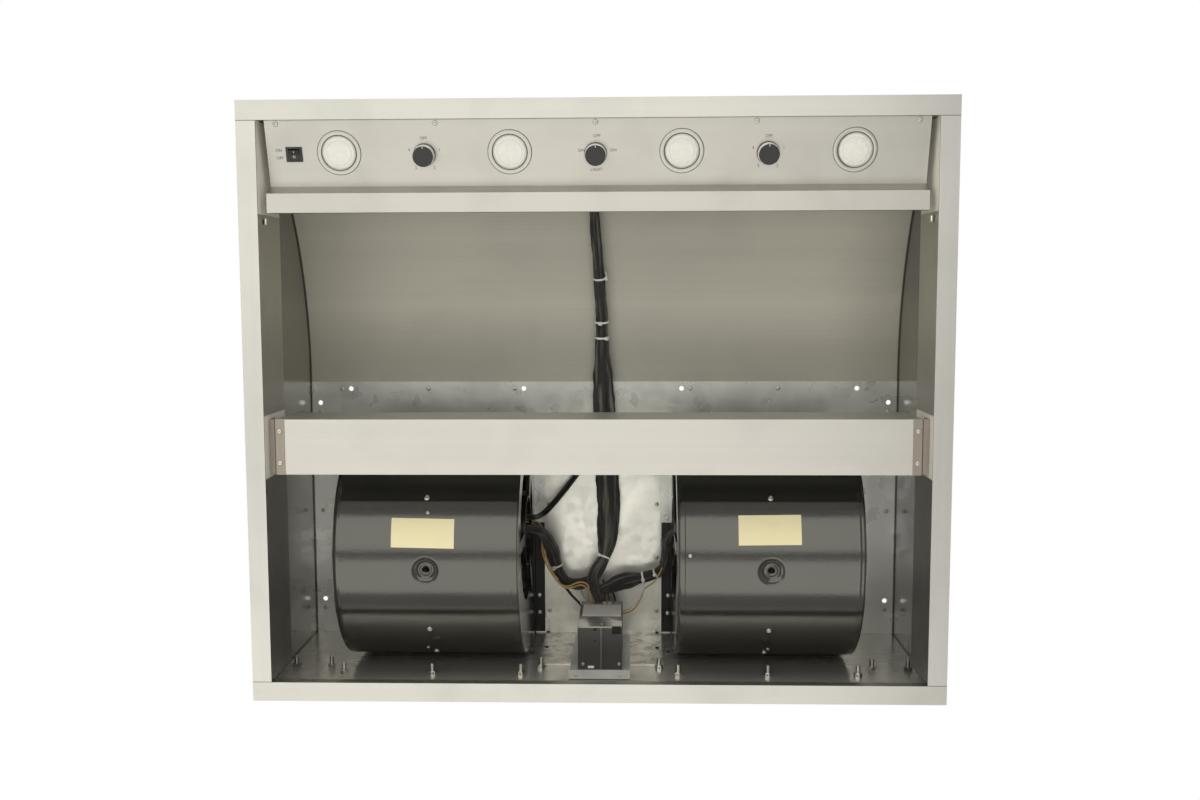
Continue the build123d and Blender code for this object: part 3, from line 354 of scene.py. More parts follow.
def glossBlackMaterial(name, colour, rough, dust):
    material, net, vector = startMaterial(name)
    specks = net.use("dust", vector, Peel=260.0, Amount=dust)
    base = net.mix(specks["Dust"], fromScreen(*colour), fromScreen(120, 115, 100))
    hazed = net.plus(net.times(specks["Dust"], 0.5), rough)
    net.shade({"Base Color": base, "Roughness": hazed, "IOR": 1.86, "Specular Tint": (1, 0.99, 0.9)},
              specks["Peel"], 0.12, 0.0006)
    return material


def mouldedMaterial(name, colour, rough):
    material, net, vector = startMaterial(name)
    texture, cloud = net.noise(vector, 1400.0, 3.0, 0.6), net.noise(vector, 40.0, 3.0)
    base = fromScreen(*colour)
    net.shade({"Base Color": net.mix(cloud, scaled(base, 0.86), scaled(base, 1.1)),
               "Roughness": net.span(texture, 0.3, 0.7, rough - 0.05, rough + 0.08)}, texture, 0.15, 0.0003)
    return material


def metalMaterial(name, colour, rough, scratch, metal=1.0):
    material, net, vector = startMaterial(name)
    scuffs = net.noise(net.vector("MULTIPLY", vector, (900, 200, 500)), 1.0, 4.0, 0.7)
    clean = fromScreen(*colour)
    net.shade({"Base Color": net.mix(scuffs, scaled(clean, 1 - 2 * scratch), clean), "Metallic": metal,
               "Roughness": net.span(scuffs, 0.3, 0.7, rough, rough + scratch)}, scuffs, 0.08, 0.0002)
    return material


def sleeveMaterial(name, colour, creaseShade, foldHighlight):
    material, net, vector = startMaterial(name, "UV")
    weave = net.use("weave", vector, Repeats=1.0)
    folds = net.noise(net.vector("MULTIPLY", vector, (0.55, 0.03, 1.0)), 1.0, 4.0, 0.6)
    dark = fromScreen(*colour)
    toned = net.mix(weave["Yarn"], dark, scaled(dark, 2.4))
    # painted shade darkens the creases between the folds, and painted highlights lighten the fold ridges
    shaded = net.mix(net.span(folds, 0.42, 0.5, 0.85, 0.0), toned, fromScreen(*creaseShade))
    highlighted = net.mix(net.span(folds, 0.52, 0.62, 0.0, 0.8), shaded, fromScreen(*foldHighlight))
    rough = net.span(weave["Yarn"], 0.0, 1.0, 0.5, 0.72)
    net.shade({"Base Color": highlighted, "Roughness": rough, "Sheen Weight": 0.25},
              net.plus(net.times(weave["Height"], 0.3), folds), 0.8, 0.0016)
    return material


def jacketMaterial(name, colour, rough):
    material, net, vector = startMaterial(name)
    scuffs, base = net.noise(vector, 300.0, 3.0, 0.6), fromScreen(*colour)
    net.shade({"Base Color": net.mix(scuffs, scaled(base, 0.75), scaled(base, 1.2)),
               "Roughness": net.span(scuffs, 0.3, 0.7, rough, rough + 0.15)}, scuffs, 0.1, 0.0003)
    return material


def lensMaterial(name, first, second, glow, step, rim):
    # the UV map runs from -1 to 1 across each lens
    material, net, vector = startMaterial(name, "UV")
    facets = net.cells(vector, 7.0)["Distance"]
    out = net.vector("LENGTH", vector)
    colour = net.mix(net.noise(vector, 2.4, 2.0), fromScreen(*first), fromScreen(*second))
    middle = net.times(net.span(out, 0.04, 0.26, 0.7, 0.0), net.span(facets, 0.12, 0.3, 1.0, 0.15))
    colour = net.mix(middle, colour, fromScreen(*glow))
    ring = net.maths("ABSOLUTE", net.minus(out, 0.77))
    colour = net.mix(net.span(ring, 0.01, 0.03, 0.3, 0.0), colour, fromScreen(*step))
    colour = net.mix(net.span(out, 0.86, 1.0, 0.0, 0.45), colour, fromScreen(*rim))
    net.shade({"Base Color": colour, "Roughness": net.span(facets, 0.0, 0.6, 0.12, 0.3), "Coat Weight": 0.6},
              facets, 0.5, 0.0008)
    return material


def coverMaterial(name, first, second):
    material, net, vector = startMaterial(name)
    haze = net.noise(vector, 120.0, 3.0)
    net.shade({"Base Color": net.mix(haze, fromScreen(*first), fromScreen(*second)), "Coat Weight": 0.5,
               "Roughness": net.span(haze, 0.3, 0.7, 0.08, 0.2), "Transmission Weight": 0.55},
              haze, 0.05, 0.0004)
    return material


def paperMaterial(name, colour):
    material, net, vector = startMaterial(name)
    fibre, stain = net.noise(vector, 700.0, 4.0, 0.7), net.noise(vector, 50.0, 3.0)
    base = fromScreen(*colour)
    paper = net.mix(fibre, scaled(base, 0.93), base)
    net.shade({"Base Color": net.mix(net.span(stain, 0.5, 0.8, 0.0, 0.25), paper, scaled(base, 0.8)),
               "Roughness": net.span(fibre, 0.3, 0.7, 0.42, 0.6)}, fibre, 0.06, 0.0002)
    return material


plainLooks = {
    "drumBlack": (glossBlackMaterial, (36, 36, 33), 0.15, 0.10),  # colour, roughness, dust
    "strapBlack": (glossBlackMaterial, (20, 20, 19), 0.22, 0.06),
    "footBlack": (mouldedMaterial, (34, 33, 30), 0.5),  # colour, roughness
    "knobBlack": (mouldedMaterial, (34, 33, 31), 0.42),
    "boxBlack": (mouldedMaterial, (64, 62, 58), 0.4),
    "ribGrey": (mouldedMaterial, (98, 95, 88), 0.3),
    "driverWhite": (mouldedMaterial, (226, 224, 216), 0.45),
    "tieWhite": (mouldedMaterial, (240, 238, 231), 0.35),
    # painted shadow: the dark rings in the lamp trims' grooves and round their edges
    "darkGap": (mouldedMaterial, (88, 85, 76), 0.6),
    # painted shade: the near-black inside the junction box's open knock-outs
    "deepBlack": (mouldedMaterial, (9, 9, 8), 0.7),
    "markWhite": (mouldedMaterial, (192, 190, 182), 0.4),
    "chrome": (metalMaterial, (252, 251, 247), 0.3, 0.04, 0.7),  # colour, roughness, scratches, metal
    "bolt": (metalMaterial, (214, 211, 200), 0.24, 0.1),
    "darkBolt": (metalMaterial, (84, 82, 76), 0.3, 0.15),
    "motorSteel": (metalMaterial, (150, 149, 142), 0.34, 0.12),
    "lampTrim": (metalMaterial, (186, 184, 177), 0.32, 0.05),
    "lampSatin": (metalMaterial, (198, 195, 184), 0.3, 0.1),
    "sleeveWeave": (sleeveMaterial, (28, 27, 25), (12, 12, 11), (112, 108, 98)),  # yarn, painted crease shade, painted fold highlight
    "jacketBlack": (jacketMaterial, (26, 26, 25), 0.4),
    "wireTan": (jacketMaterial, (196, 160, 96), 0.35),
    "wireCream": (jacketMaterial, (214, 208, 190), 0.35),
    "wireRed": (jacketMaterial, (110, 46, 38), 0.35),
    "printGrey": (jacketMaterial, (50, 48, 44), 0.5),
    "labelCream": (paperMaterial, (232, 221, 176)),
    "plateWhite": (paperMaterial, (250, 248, 242)),
    "lensFrost": (lensMaterial, (214, 212, 203), (229, 227, 219), (240, 226, 170), (150, 150, 140),
                  (170, 170, 158)),
    "clearCover": (coverMaterial, (196, 192, 182), (222, 218, 208)),
}
looks = {name: steelMaterial(name, look) for name, look in steelLooks.items()}
looks.update({name: zincMaterial(name, look) for name, look in zincLooks.items()})
looks.update({name: make(name, *values) for name, (make, *values) in plainLooks.items()})
print("materials made:", len(looks))


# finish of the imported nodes; a star stands for left and for right
nodeLooks = {
    "rimSteel": ("front_rim", "rear_rim"),
    "sideRimSteel": ("*_rim",),
    "panelSteel": ("control_panel",),
    "railSteel": ("mid_rail",),
    "tabSteel": ("*_rail_bracket",),
    "canopySteel": ("front_canopy",),
    "wallSteel": ("left_side_wall",),
    "wallSteelRightShaded": ("right_side_wall",),
    "backSteel": ("back_wall",),
    "zincTop": ("top_panel", "*_duct_collar"),
    "zincGrey": ("junction_box_bracket",),
    "zincBright": ("centre_plate", "*_front_damper_flap", "*_rear_damper_flap"),
    "zincWheel": ("*_impeller",),
    "drumBlack": ("*_scroll_wrap", "*_blower_inner_plate", "*_blower_outer_plate"),
    "strapBlack": ("*_motor_bracket",),
    "footBlack": ("*_blower_feet",),
    "motorSteel": ("*_motor",),
    "bolt": ("*_motor_shaft", "damper_pins", "panel_screws", "top_screws", "wall_studs", "blower_screws"),
    "knobBlack": ("*_speed_knob", "light_knob", "rocker_housing", "rocker_paddle", "rotary_switches"),
    "boxBlack": ("junction_box",),
    "clearCover": ("junction_box_cover",),
    "driverWhite": ("led_driver",),
    "lensFrost": ("lamp_lenses",),
    "lampSatin": ("lamp_housing_1", "lamp_housing_2", "lamp_housing_3", "lamp_housing_4"),
    "sleeveWeave": ("main_harness", "*_motor_branch"),
    "jacketBlack": ("left_motor_lead",),
}


def finishNodes(settings):
    finished = set()
    for lookName, patterns in settings.items():
        for nodeName in {pattern.replace("*", side) for pattern in patterns for side in sides}:
            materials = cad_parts[nodeName].data.materials
            materials.clear()
            materials.append(looks[lookName])
            finished.add(nodeName)
    print("nodes finished:", len(finished), "of", len(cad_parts))


finishNodes(nodeLooks)

# camera, in the photograph's place
cameraSettings = {
    "place": (0.046253, -0.147003, -1.450574),
    "turns": (("X", 0.0948), ("Y", 0.0284), ("Z", -0.0005)),
    "focalPixels": 1186.96,
    "framePixels": 1200,
    "sensor": 36.0,
}


def standAt(item, place, right, up, ahead):
    seat = Matrix((right, up, -ahead)).transposed().to_4x4()
    seat.translation = place
    item.matrix_world = seat
    bpy.context.scene.collection.objects.link(item)


def makeCamera(settings):
    data = bpy.data.cameras.new("viewpoint")
    data.sensor_width = settings["sensor"]
    data.lens = settings["sensor"] * settings["focalPixels"] / settings["framePixels"]
    camera = bpy.data.objects.new("viewpoint", data)
    turn = Matrix.Identity(3)
    for axis, angle in settings["turns"]:
        turn = Matrix.Rotation(angle, 3, axis) @ turn
    standAt(camera, settings["place"], turn[0], -turn[1], turn[2])
    bpy.context.scene.camera = camera


# light, world and floor
lightSettings = {
    "pivot": (0.0, 0.20, 0.05),
    "shift": (-0.66, 0, 0),  # the soft boxes stand to the left
    "warmth": (1.0, 0.985, 0.92),
    "reach": (2.2, 3.3),  # distance of the soft boxes, and their length in X
    "boxes": (  # angle from straight down towards +Y, half the angle covered, watts
        ("softFront", -19.0, 18.0, 19.1),
        ("softRear", 25.0, 18.0, 18.6),
        ("softLow", -67.0, 9.0, 16.0),
    ),
    "high": (("above", (-1.6, -1.8, 2.4), 60.0), ("aboveBack", (1.8, 1.9, 2.0), 45.0)),
    "highSize": 1.6,
    "highTarget": (0, 0, 0.15),
    "worldFill": 0.5,
    "belowDim": 0.42,  # what a mirror sees below, between and beyond the soft boxes
}


def areaLamp(name, place, target, width, length, watts, colour):
    data = bpy.data.lights.new(name, "AREA")
    data.color, data.shape, data.energy = colour, "RECTANGLE", watts
    data.size, data.size_y = length, width
    ahead = (Vector(target) - Vector(place)).normalized()
    right = (Vector((1, 0, 0)) - ahead * ahead.x).normalized()
    standAt(bpy.data.objects.new(name, data), place, right, (-ahead).cross(right), ahead)


def makeLights(settings):
    target = Vector(settings["pivot"]) + Vector(settings["shift"])
    distance, length = settings["reach"]
    for name, angle, half, watts in settings["boxes"]:
        lean = math.radians(angle)
        place = target + distance * Vector((0, math.sin(lean), -math.cos(lean)))
        width = 2 * distance * math.tan(math.radians(half))
        areaLamp(name, place, target, width, length, watts, settings["warmth"])
    size = settings["highSize"]
    for name, place, watts in settings["high"]:
        areaLamp(name, place, settings["highTarget"], size, size, watts, (1, 1, 1))


def makeWorld(settings):
    world = bpy.data.worlds.new("paleRoom")
    bpy.context.scene.world = world
    world.use_nodes = True
    net = Net(world.node_tree)
    path = net.node("ShaderNodeLightPath").outputs
    seen = net.plus(path["Is Camera Ray"], path["Is Glossy Ray"])
    seen = net.maths("ADD", seen, path["Is Transmission Ray"], clamp=True)
    height = net.split(net.node("ShaderNodeTexCoord").outputs["Generated"])[2]
    above = net.span(height, -0.25, 0.05, settings["belowDim"], 1.0)
    pale = net.maths("MAXIMUM", above, net.minus(1.0, path["Is Glossy Ray"]))
    background = world.node_tree.nodes["Background"].inputs
    net.feed(background["Color"], (1, 1, 1))
    net.feed(background["Strength"], net.span(seen, 0.0, 1.0, settings["worldFill"], pale))


floorSettings = {"half": 4.0, "height": -0.004, "colour": (0.82, 0.82, 0.81)}


def makeFloor(settings):
    # seen only from above: from below, and to everything but the camera, it is clear
    mesh, half = bpy.data.meshes.new("floor"), settings["half"]
    corners = [(-half, -half), (half, -half), (half, half), (-half, half)]
    mesh.from_pydata([(x, y, settings["height"]) for x, y in corners], [], [(0, 1, 2, 3)])
    floor = bpy.data.objects.new("floor", mesh)
    bpy.context.scene.collection.objects.link(floor)
    material, net, vector = startMaterial("floorPale")
    shader = net.tree.nodes["Principled BSDF"]
    pale = net.mix(net.noise(vector, 3.0, 2.0), scaled(settings["colour"], 0.98), settings["colour"])
    net.feed(shader.inputs["Base Color"], pale)
    net.feed(shader.inputs["Roughness"], 0.8)
    below = net.node("ShaderNodeNewGeometry").outputs["Backfacing"]
    notCamera = net.minus(1.0, net.node("ShaderNodeLightPath").outputs["Is Camera Ray"])
    clear = net.node("ShaderNodeBsdfTransparent").outputs[0]
    hidden = net.maths("MAXIMUM", below, notCamera)
    mixed = net.node("ShaderNodeMixShader", (hidden, shader.outputs[0], clear))
    net.feed(net.tree.nodes["Material Output"].inputs["Surface"], mixed.outputs[0])
    mesh.materials.append(material)


makeCamera(cameraSettings)
makeLights(lightSettings)
makeWorld(lightSettings)
makeFloor(floorSettings)
bpy.context.scene.view_settings.view_transform = "Standard"
print("camera, lamps, world and floor made")


# piece making: a form is a pair of points, in millimetres, and faces
def linkPiece(name, mesh, look, body="hood", replaced=()):
    if look:
        mesh.materials.clear()
        mesh.materials.append(looks[look])
    piece = bpy.data.objects.new(name, mesh)
    bpy.context.scene.collection.objects.link(piece)
    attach(piece, body)
    if replaced:
        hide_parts(*replaced)
    return piece


def meshFrom(name, points, faces):
    mesh = bpy.data.meshes.new(name)
    mesh.from_pydata([tuple(c * mm for c in p) for p in points], [], faces)
    mesh.update()
    mesh.shade_smooth()
    return mesh


def lathe(profile, steps, closed=False, flutes=(0, 0, 0, -1)):
    # turns (radius, height) pairs about Z; a radius of 0 closes on one point
    count, depth, first, last = flutes
    points, rows, faces = [], [], []
    for index, (radius, height) in enumerate([*profile, *(profile[:1] if closed else ())]):
        if radius == 0:
            rows.append([len(points)])
            points.append((0, 0, height))
            continue
        rows.append(list(range(len(points), len(points) + steps)))
        for step in range(steps):
            turn = math.tau * step / steps
            r = radius - (depth * (0.5 + 0.5 * math.cos(count * turn)) if first <= index <= last else 0)
            points.append((r * math.cos(turn), r * math.sin(turn), height))
    for low, high in zip(rows, rows[1:]):
        for step in range(steps):
            after = (step + 1) % steps
            if len(low) == 1 and len(high) > 1:
                faces.append((low[0], high[after], high[step]))
            elif len(high) == 1 and len(low) > 1:
                faces.append((low[step], low[after], high[0]))
            elif len(low) > 1:
                faces.append((low[step], low[after], high[after], high[step]))
    return points, faces


def slab(across, along, placeOf):
    # a thin closed form on a grid; placeOf gives a point for the shares across and along, and the layer
    points = [placeOf(column / across, row / along, layer)
              for layer in (0, 1) for row in range(along + 1) for column in range(across + 1)]
    wide, size, faces = across + 1, (across + 1) * (along + 1), []
    for row in range(along):
        for a in range(row * wide, row * wide + across):
            b = a + wide
            faces += [(a, a + 1, b + 1, b), (size + a, size + b, size + b + 1, size + a + 1)]
    rim = list(range(across)) + [r * wide + across for r in range(along)]
    rim += [along * wide + c for c in range(across, 0, -1)] + [r * wide for r in range(along, 0, -1)]
    faces += [(a, size + a, size + b, b) for a, b in zip(rim, rim[1:] + rim[:1])]
    return points, faces


def boxForm(size, middle):
    (a, b, c), (x, y, z), ends = size, middle, (-0.5, 0.5)
    points = [(x + i * a, y + j * b, z + k * c) for k in ends for j in ends for i in ends]
    return points, [(0, 2, 3, 1), (4, 5, 7, 6), (0, 1, 5, 4), (2, 6, 7, 3), (0, 4, 6, 2), (1, 3, 7, 5)]


def joined(forms):
    points, faces = [], []
    for morePoints, moreFaces in forms:
        faces += [tuple(len(points) + corner for corner in face) for face in moreFaces]
        points += morePoints
    return points, faces


def outwardMesh(name, form, sharp=35):
    # a closed form whose faces are turned outwards, with edges above the sharp angle kept
    mesh, work = meshFrom(name, *form), bmesh.new()
    work.from_mesh(mesh)
    bmesh.ops.remove_doubles(work, verts=work.verts, dist=1e-7)
    bmesh.ops.recalc_face_normals(work, faces=work.faces)
    for edge in work.edges:
        if len(edge.link_faces) == 2 and edge.calc_face_angle(0) > math.radians(sharp):
            edge.smooth = False
    work.to_mesh(mesh)
    work.free()
    return mesh


def softBox(name, size, middle, edge, segments=2):
    # a box with rounded edges
    mesh, work = meshFrom(name, *boxForm(size, middle)), bmesh.new()
    work.from_mesh(mesh)
    bmesh.ops.bevel(work, geom=list(work.edges), offset=edge * mm, segments=segments, profile=0.7,
                    affect="EDGES")
    work.to_mesh(mesh)
    work.free()
    mesh.shade_smooth()
    mesh.set_sharp_from_angle(angle=math.radians(40))
    return mesh


panelFrame = {"rise": math.atan2(22, 78), "frontY": -350.0, "frontZ": 8.0}


def panelSeat(x, distance, height=0.0):
    # a seat on the control panel's lower face, its Y towards the front edge, its Z out of the face
    rise = panelFrame["rise"]
    out = Vector((0, math.sin(rise), -math.cos(rise)))
    up = Vector((0, -math.cos(rise), -math.sin(rise)))
    seat = Matrix((up.cross(out), up, out)).transposed().to_4x4()
    edge = Vector((x, panelFrame["frontY"], panelFrame["frontZ"]))
    seat.translation = (edge - up * distance + out * height) * mm
    return seat


def seatFacing(place, out):
    seat = Vector(out).to_track_quat("Z", "Y").to_matrix().to_4x4()
    seat.translation = Vector(place) * mm
    return seat


def placedMesh(mesh, seat):
    mesh.transform(seat)
    mesh.update()
    return mesh


def plainMesh(holder):
    # the holder's evaluated shape as a plain mesh, and the holder goes
    bpy.context.scene.collection.objects.link(holder)
    bpy.context.view_layer.update()
    graph = bpy.context.evaluated_depsgraph_get()
    shaped = holder.evaluated_get(graph)
    mesh = bpy.data.meshes.new_from_object(shaped, preserve_all_data_layers=True, depsgraph=graph)
    holder.modifiers.clear()
    bpy.data.objects.remove(holder)
    return mesh


# geometry node trees: copies set on marked points here, and tubes along a line further on
def shapeTree(name, inputs):
    inputs = (("Geometry", "Geometry", None), *inputs, ("Finish", "Material", None))
    return newTree(name, "GeometryNodeTree", inputs, (("Geometry", "Geometry"),))


def finishTree(net, geometry, finish):
    whole = net.node("GeometryNodeRealizeInstances", (geometry,)).outputs[0]
    painted = net.node("GeometryNodeSetMaterial", {"Geometry": whole, "Material": finish})
    return net.give(Geometry=painted.outputs[0])


def copiesTree():
    inputs = (("Source", "Object", None), ("Wobble", "Float", 0.0), ("Seed", "Int", 1))
    net, given = shapeTree("setOnPoints", inputs)

    def marked(name, kind):
        field = net.node("GeometryNodeInputNamedAttribute", {"Name": name}, data_type=kind)
        return field.outputs["Attribute"]

    def rotation(euler):
        return net.node("FunctionNodeEulerToRotation", (euler,)).outputs[0]

    spin = net.node("FunctionNodeRandomValue", {"Seed": given["Seed"]}, data_type="FLOAT")
    low, high = [socket for socket in spin.inputs if socket.type == "VALUE" and socket.enabled][:2]
    net.feed(low, net.times(given["Wobble"], -1.0))
    net.feed(high, given["Wobble"])
    around = rotation(net.combine(z=[socket for socket in spin.outputs if socket.enabled][0]))
    seat = rotation(marked("turn", "FLOAT_VECTOR"))
    copies = net.node("GeometryNodeInstanceOnPoints", {
        "Points": given["Geometry"],
        "Instance": net.node("GeometryNodeObjectInfo", {"Object": given["Source"]}).outputs["Geometry"],
        "Rotation": net.node("FunctionNodeRotateRotation", (seat, around), rotation_space="LOCAL").outputs[0],
        "Scale": marked("size", "FLOAT"),
    })
    return finishTree(net, copies.outputs[0], given["Finish"])


trees = {"copies": copiesTree()}


def runTree(name, data, tree, values):
    # runs the tree on the data and gives back the mesh that it makes
    holder = bpy.data.objects.new(name + ".holder", data)
    modifier = holder.modifiers.new("shape", "NODES")
    modifier.node_group = tree
    for item in tree.interface.items_tree:
        if item.item_type == "SOCKET" and item.in_out == "INPUT" and item.name in values:
            modifier[item.identifier] = values[item.name]
    mesh = plainMesh(holder)
    mesh.name = name
    return mesh


def copiesOf(name, sourceMesh, seats, look, body="hood", replaced=(), wobble=0.0, seed=1,
             sizes=None):
    points = bpy.data.meshes.new(name + ".points")
    points.from_pydata([tuple(seat.translation) for seat in seats], [], [])
    turns = points.attributes.new("turn", "FLOAT_VECTOR", "POINT")
    turns.data.foreach_set("vector", [c for seat in seats for c in seat.to_euler()])
    scales = points.attributes.new("size", "FLOAT", "POINT")
    scales.data.foreach_set("value", sizes or [1.0] * len(seats))
    source = bpy.data.objects.new(name + ".source", sourceMesh)
    values = {"Source": source, "Wobble": wobble, "Seed": seed, "Finish": looks[look]}
    mesh = runTree(name, points, trees["copies"], values)
    bpy.data.objects.remove(source)
    return linkPiece(name, mesh, None, body, replaced)


# lamps: a trim ring, dark rings painted as the shadow in its groove and round its outer edge, and a faceted
# lens
lampSettings = {
    "x": (-315.0, -105.0, 105.0, 315.0),
    "distance": 39.5,
    "steps": 72,
    "trim": ((0, -22.0), (23.6, -22.0), (23.6, -0.2), (26.4, -0.1), (27.0, 0.0), (26.95, 0.6), (26.6, 1.0),
             (26.1, 1.15), (22.4, 1.2), (22.1, 1.1), (21.95, 0.6), (21.9, -0.8), (21.05, -0.8), (21.0, 0.9),
             (20.7, 1.1), (20.2, 1.0), (20.1, -1.5), (0, -1.5)),
    "groove": ((21.85, -0.8), (21.85, 0.5), (21.1, 0.5), (21.1, -0.8)),
    "edgeShadow": ((27.35, 0.0), (27.3, 0.28), (27.0, 0.3), (26.7, 0.02)),
    "lens": ((0, -0.8), (20.0, -0.8), (20.0, 0.6), (18.5, 1.0), (15.0, 1.35), (11.0, 1.6), (7.0, 1.8),
             (3.5, 1.9), (0, 1.95)),
    "lensRadius": 20,
}


def makeLamps(settings):
    seats, steps = [panelSeat(x, settings["distance"]) for x in settings["x"]], settings["steps"]
    trim = outwardMesh("lampTrim.source", lathe(settings["trim"], steps), 40)
    housings = [f"lamp_housing_{number}" for number in (1, 2, 3, 4)]
    copiesOf("lampTrims", trim, seats, "lampTrim", replaced=housings)
    # the dark rings are painted shadow in the groove and round the trim's outer edge
    rings = [lathe(settings[part], steps, closed=True) for part in ("edgeShadow", "groove")]
    copiesOf("lampGaskets", outwardMesh("lampShadowRing.source", joined(rings)), seats, "darkGap")
    lens = outwardMesh("lampLens.source", lathe(settings["lens"], steps), 60)
    pattern = lens.uv_layers.new(name="UVMap")
    for loop in lens.loops:
        x, y, _ = lens.vertices[loop.vertex_index].co
        pattern.data[loop.index].uv = (x * 1000 / settings["lensRadius"], y * 1000 / settings["lensRadius"])
    copiesOf("lampLenses", lens, seats, "lensFrost", replaced=["lamp_lenses"])


# knobs: a black skirt and face, a chrome sleeve and a pale index, each riding its own dial
knobSettings = {
    "places": (("left_speed", -210.0), ("light", 0.0), ("right_speed", 210.0)),
    "distance": 42.5,
    "sleeve": ((12.0, 3.6), (13.3, 3.7), (13.4, 4.2), (13.1, 11.7), (12.95, 12.3), (12.75, 12.5),
               (12.5, 12.5), (12.0, 12.3)),
    "cap": ((0, 3.2), (9.0, 3.2), (9.0, 0.6), (13.6, 0.6), (14.0, 1.0), (14.0, 3.0), (13.7, 3.6), (13.2, 3.8),
            (12.1, 3.9), (12.1, 12.2), (12.55, 12.45), (12.6, 12.9), (12.3, 13.2), (11.7, 13.3), (8.0, 13.1),
            (4.0, 13.0), (0, 13.0)),
    "flutes": (30, 0.28, 4, 5),  # count, depth, first and last row of the cap's profile
    "index": ((1.1, 2.6, 0.5), (0, 10.9, 13.25), 0.15),  # size, middle, edge
}


def makeKnobs(settings):
    for name, x in settings["places"]:
        body, seat = name + "_dial", panelSeat(x, settings["distance"])
        sleeve = outwardMesh(name + "KnobSleeve", lathe(settings["sleeve"], 96, closed=True))
        linkPiece(name + ".sleeve", placedMesh(sleeve, seat), "chrome", body)
        cap = outwardMesh(name + "KnobCap", lathe(settings["cap"], 180, flutes=settings["flutes"]))
        linkPiece(name + ".cap", placedMesh(cap, seat), "knobBlack", body, [name + "_knob"])
        index = softBox(name + "Index", *settings["index"])
        linkPiece(name + ".index", placedMesh(index, seat), "markWhite", body)


# lettering on the control strip: plain words and dial figures, by X and distance from the front edge
letterSettings = {
    "font": 5.2,
    "height": 0.04,
    "thickness": 0.03,
    "words": (("ON", -389.4, 36.2), ("OFF", -388.6, 45.4), ("OFF", 1.5, 20.8), ("ON", -17.5, 38.2),
              ("ON", 21.5, 38.2), ("LIGHT", 0.8, 61.6)),
    "dialRadius": 19.6,
    "dials": (-210.0, 210.0),
    "offShift": 0.6,
    "step": 72,
}


def makeLetters(settings):
    words, middle, radius = list(settings["words"]), knobSettings["distance"], settings["dialRadius"]
    for x in settings["dials"]:
        words.append(("OFF", x, middle - radius - settings["offShift"]))
        for number in (1, 2, 3, 4):
            turn = math.radians(settings["step"] * number)
            words.append((str(number), x + radius * math.sin(turn), middle - radius * math.cos(turn)))
    work = bmesh.new()
    for text, x, distance in words:
        curve = bpy.data.curves.new("panelLetters", "FONT")
        curve.body, curve.size = text, settings["font"] * mm
        curve.align_x = curve.align_y = "CENTER"
        curve.extrude, curve.resolution_u = settings["thickness"] * mm, 3
        flat = plainMesh(bpy.data.objects.new("panelLetters", curve))
        work.from_mesh(placedMesh(flat, panelSeat(x, distance, settings["height"])))
    bmesh.ops.remove_doubles(work, verts=work.verts, dist=1e-7)
    mesh = bpy.data.meshes.new("panelLetters")
    work.to_mesh(mesh)
    work.free()
    linkPiece("panelLetters", mesh, "printGrey")


makeLamps(lampSettings)
makeKnobs(knobSettings)
makeLetters(letterSettings)
print("lamps, knobs and letters made")


# blower casings: one rolled sheet each, with its lap seam, end beads and dimpled drain
drumSettings = {
    "middles": (-223.0, 223.0),
    "centre": (210.0, 200.0),  # Y and Z of the scroll's middle
    "radius": 155.0,
    "topRadius": 100.0,
    "topSteps": 24,
    "backLine": (302.6, 290, 276, 262, 248, 234, 220, 208),  # heights up the straight back
    "sheet": 1.0,
    "half": 119.5,
    "seam": -32.0,  # where the sheet's two ends lap, in degrees from straight down
    "seamStep": 0.55,
    "seamFade": (8, 20),  # the step's full height lasts this long, then fades out, in degrees
    "seamReach": 1.2,
    "beadReach": 4,
    "bead": (112.0, 2.4, 0.55),  # place from the middle, half width, height
    "drain": (6.5, 2.4),  # its place in Y from the middle, and in degrees
    "drainHole": 5.0,
    "dimple": (18.5, 6.4, 5.5),  # reach, depth, width of its slope
    "well": (12.6, 2.6),  # reach and slope of its deeper middle
    "lip": (1.4, 6.4, 1.5),  # height, radius and width of the lip round the drain
    "waves": (  # height, length in X and in degrees, step from drum to drum and start in the noise
        (0.16, 70, 30, 7.3, 0),
        (0.08, 24, 60, 3.1, 5),
    ),
    "stepX": 5.0,
    "stepAlong": 4.5,
    "fine": 1.1,
    "fineReach": 23,
}


def drumPlace(x, angle, radius):
    turn, (y, z) = math.radians(angle), drumSettings["centre"]
    return (x, y + radius * math.sin(turn), z - radius * math.cos(turn))


def fromDrain(angle):
    return (angle - drumSettings["drain"][1]) * math.radians(1) * drumSettings["radius"]


def drumOutline(settings):
    # (Y, Z, outward Y, outward Z, angle) from the back edge, under the drum, up to the cut-off
    (y0, z0), radius, topRadius = settings["centre"], settings["radius"], settings["topRadius"]
    rows = [(y0 + radius, z, 1.0, 0.0, 90 + (z - z0) / 3) for z in settings["backLine"]]
    angle, arcs = 90.0, []
    while angle > -90:
        arcs.append((y0, radius, angle))
        nearSeam = abs(angle - settings["seam"]) < settings["seamReach"]
        near = nearSeam or abs(fromDrain(angle)) < settings["fineReach"]
        angle -= math.degrees((settings["fine"] if near else settings["stepAlong"]) / radius)
    arcs += [(y0 - radius + topRadius, topRadius, -90 - 90 * step / settings["topSteps"])
             for step in range(settings["topSteps"] + 1)]
    for middle, reach, angle in arcs:
        out = (math.sin(math.radians(angle)), -math.cos(math.radians(angle)))
        rows.append((middle + reach * out[0], z0 + reach * out[1], *out, angle))
    return rows


def drumColumns(settings):
    half, columns, x = settings["half"], [], -settings["half"]
    while x < half:
        columns.append(x)
        near = abs(x) < settings["fineReach"] or abs(abs(x) - settings["bead"][0]) < settings["beadReach"]
        x += settings["fine"] if near else min(settings["stepX"], half - x)
    return columns + [half]


